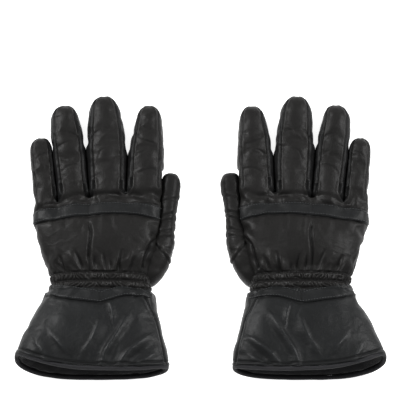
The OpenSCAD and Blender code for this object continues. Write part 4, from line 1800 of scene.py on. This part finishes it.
def area_light(name, place, target, size, watts):
    """A round soft light that points at a target."""
    light = bpy.data.lights.new(name, "AREA")
    light.shape = "DISK"
    light.size = size
    light.energy = watts
    lamp = link(name, light)
    lamp.location = place
    way = Vector(target) - Vector(place)
    lamp.rotation_euler = way.to_track_quat("-Z", "Y").to_euler()


FLOOR_Z = -0.0005
FLOOR_CORNERS = ((-3, -3), (3, -3), (3, 3), (-3, 3))
FLOOR_GLOW = 0.8
SKY_STRENGTH = 0.55
# What the camera looks at, in metres, how high it stands in degrees, its sensor in millimetres,
# and the width of what it sees
AIM = (-0.0005, 0.0417, 0)
ELEVATION = 72
SENSOR = 36
VIEW_WIDTH = 0.380


class GLOVES_OT_stage(bpy.types.Operator):
    """Sets the pale floor, the soft light and the camera"""

    bl_idname = "gloves.stage"
    bl_label = "Stage"

    def execute(self, context):
        mesh = bpy.data.meshes.new("floor")
        mesh.from_pydata([(x, y, FLOOR_Z) for x, y in FLOOR_CORNERS], [], [(0, 1, 2, 3)])
        floor = link("floor", mesh)
        paper = Finish("paper")
        grain = paper.noise(paper.node("ShaderNodeTexCoord").outputs["Object"], 6.0, 2.0)
        paper.set(base_color=paper.mixed(grain, (0.9, 0.9, 0.9, 1), (0.94, 0.94, 0.94, 1)),
                  roughness=0.9, specular_ior_level=0.1, emission_color=(1, 1, 1, 1),
                  emission_strength=FLOOR_GLOW)
        mesh.materials.append(paper.material)

        world = bpy.data.worlds.new("studio")
        world.use_nodes = True
        sky = world.node_tree.nodes["Background"].inputs
        sky["Color"].default_value = (1, 1, 1, 1)
        sky["Strength"].default_value = SKY_STRENGTH
        context.scene.world = world
        context.scene.view_settings.view_transform = "Standard"
        area_light("key", (-1.2, 0.9, 1.1), (0, 0.02, 0), 0.7, 30)
        area_light("fill", (1.3, 0.6, 1.1), (0, 0, 0.02), 0.9, 28)

        camera = bpy.data.cameras.new("camera")
        camera.lens = context.scene.gloves.camera_lens
        camera.sensor_width = SENSOR
        eye = link("camera", camera)
        elevation = math.radians(ELEVATION)
        away = Vector((0, -math.cos(elevation), math.sin(elevation)))
        eye.location = Vector(AIM) + away * (VIEW_WIDTH * camera.lens / camera.sensor_width)
        eye.rotation_euler = (-away).to_track_quat("-Z", "Y").to_euler()
        context.scene.camera = eye
        return {"FINISHED"}


class GLOVES_PT_sidebar(bpy.types.Panel):
    """Lists the settings and the pieces of the gloves"""

    bl_label = "Gloves"
    bl_idname = "GLOVES_PT_sidebar"
    bl_space_type = "VIEW_3D"
    bl_region_type = "UI"
    bl_category = "Gloves"

    def draw(self, context):
        for name in GloveSettings.__annotations__:
            self.layout.prop(context.scene.gloves, name)
        for operator in OPERATORS:
            self.layout.operator(operator.bl_idname)


OPERATORS = (
    GLOVES_OT_stage,
    GLOVES_OT_panels,
    GLOVES_OT_thumbs,
    GLOVES_OT_straps,
    GLOVES_OT_lining,
    GLOVES_OT_binding,
    GLOVES_OT_stitching,
)
CLASSES = (GloveSettings,) + OPERATORS + (GLOVES_PT_sidebar,)


def register():
    for item in CLASSES:
        bpy.utils.register_class(item)
    bpy.types.Scene.gloves = PointerProperty(type=GloveSettings)


def unregister():
    del bpy.types.Scene.gloves
    for item in reversed(CLASSES):
        bpy.utils.unregister_class(item)


def main():
    """Builds both gloves and their stage."""
    register()
    bpy.ops.gloves.stage()
    bpy.ops.gloves.panels()
    bpy.ops.gloves.thumbs()
    bpy.ops.gloves.straps()
    bpy.ops.gloves.lining()
    bpy.ops.gloves.binding()
    bpy.ops.gloves.stitching()


if __name__ == "__main__":
    main()
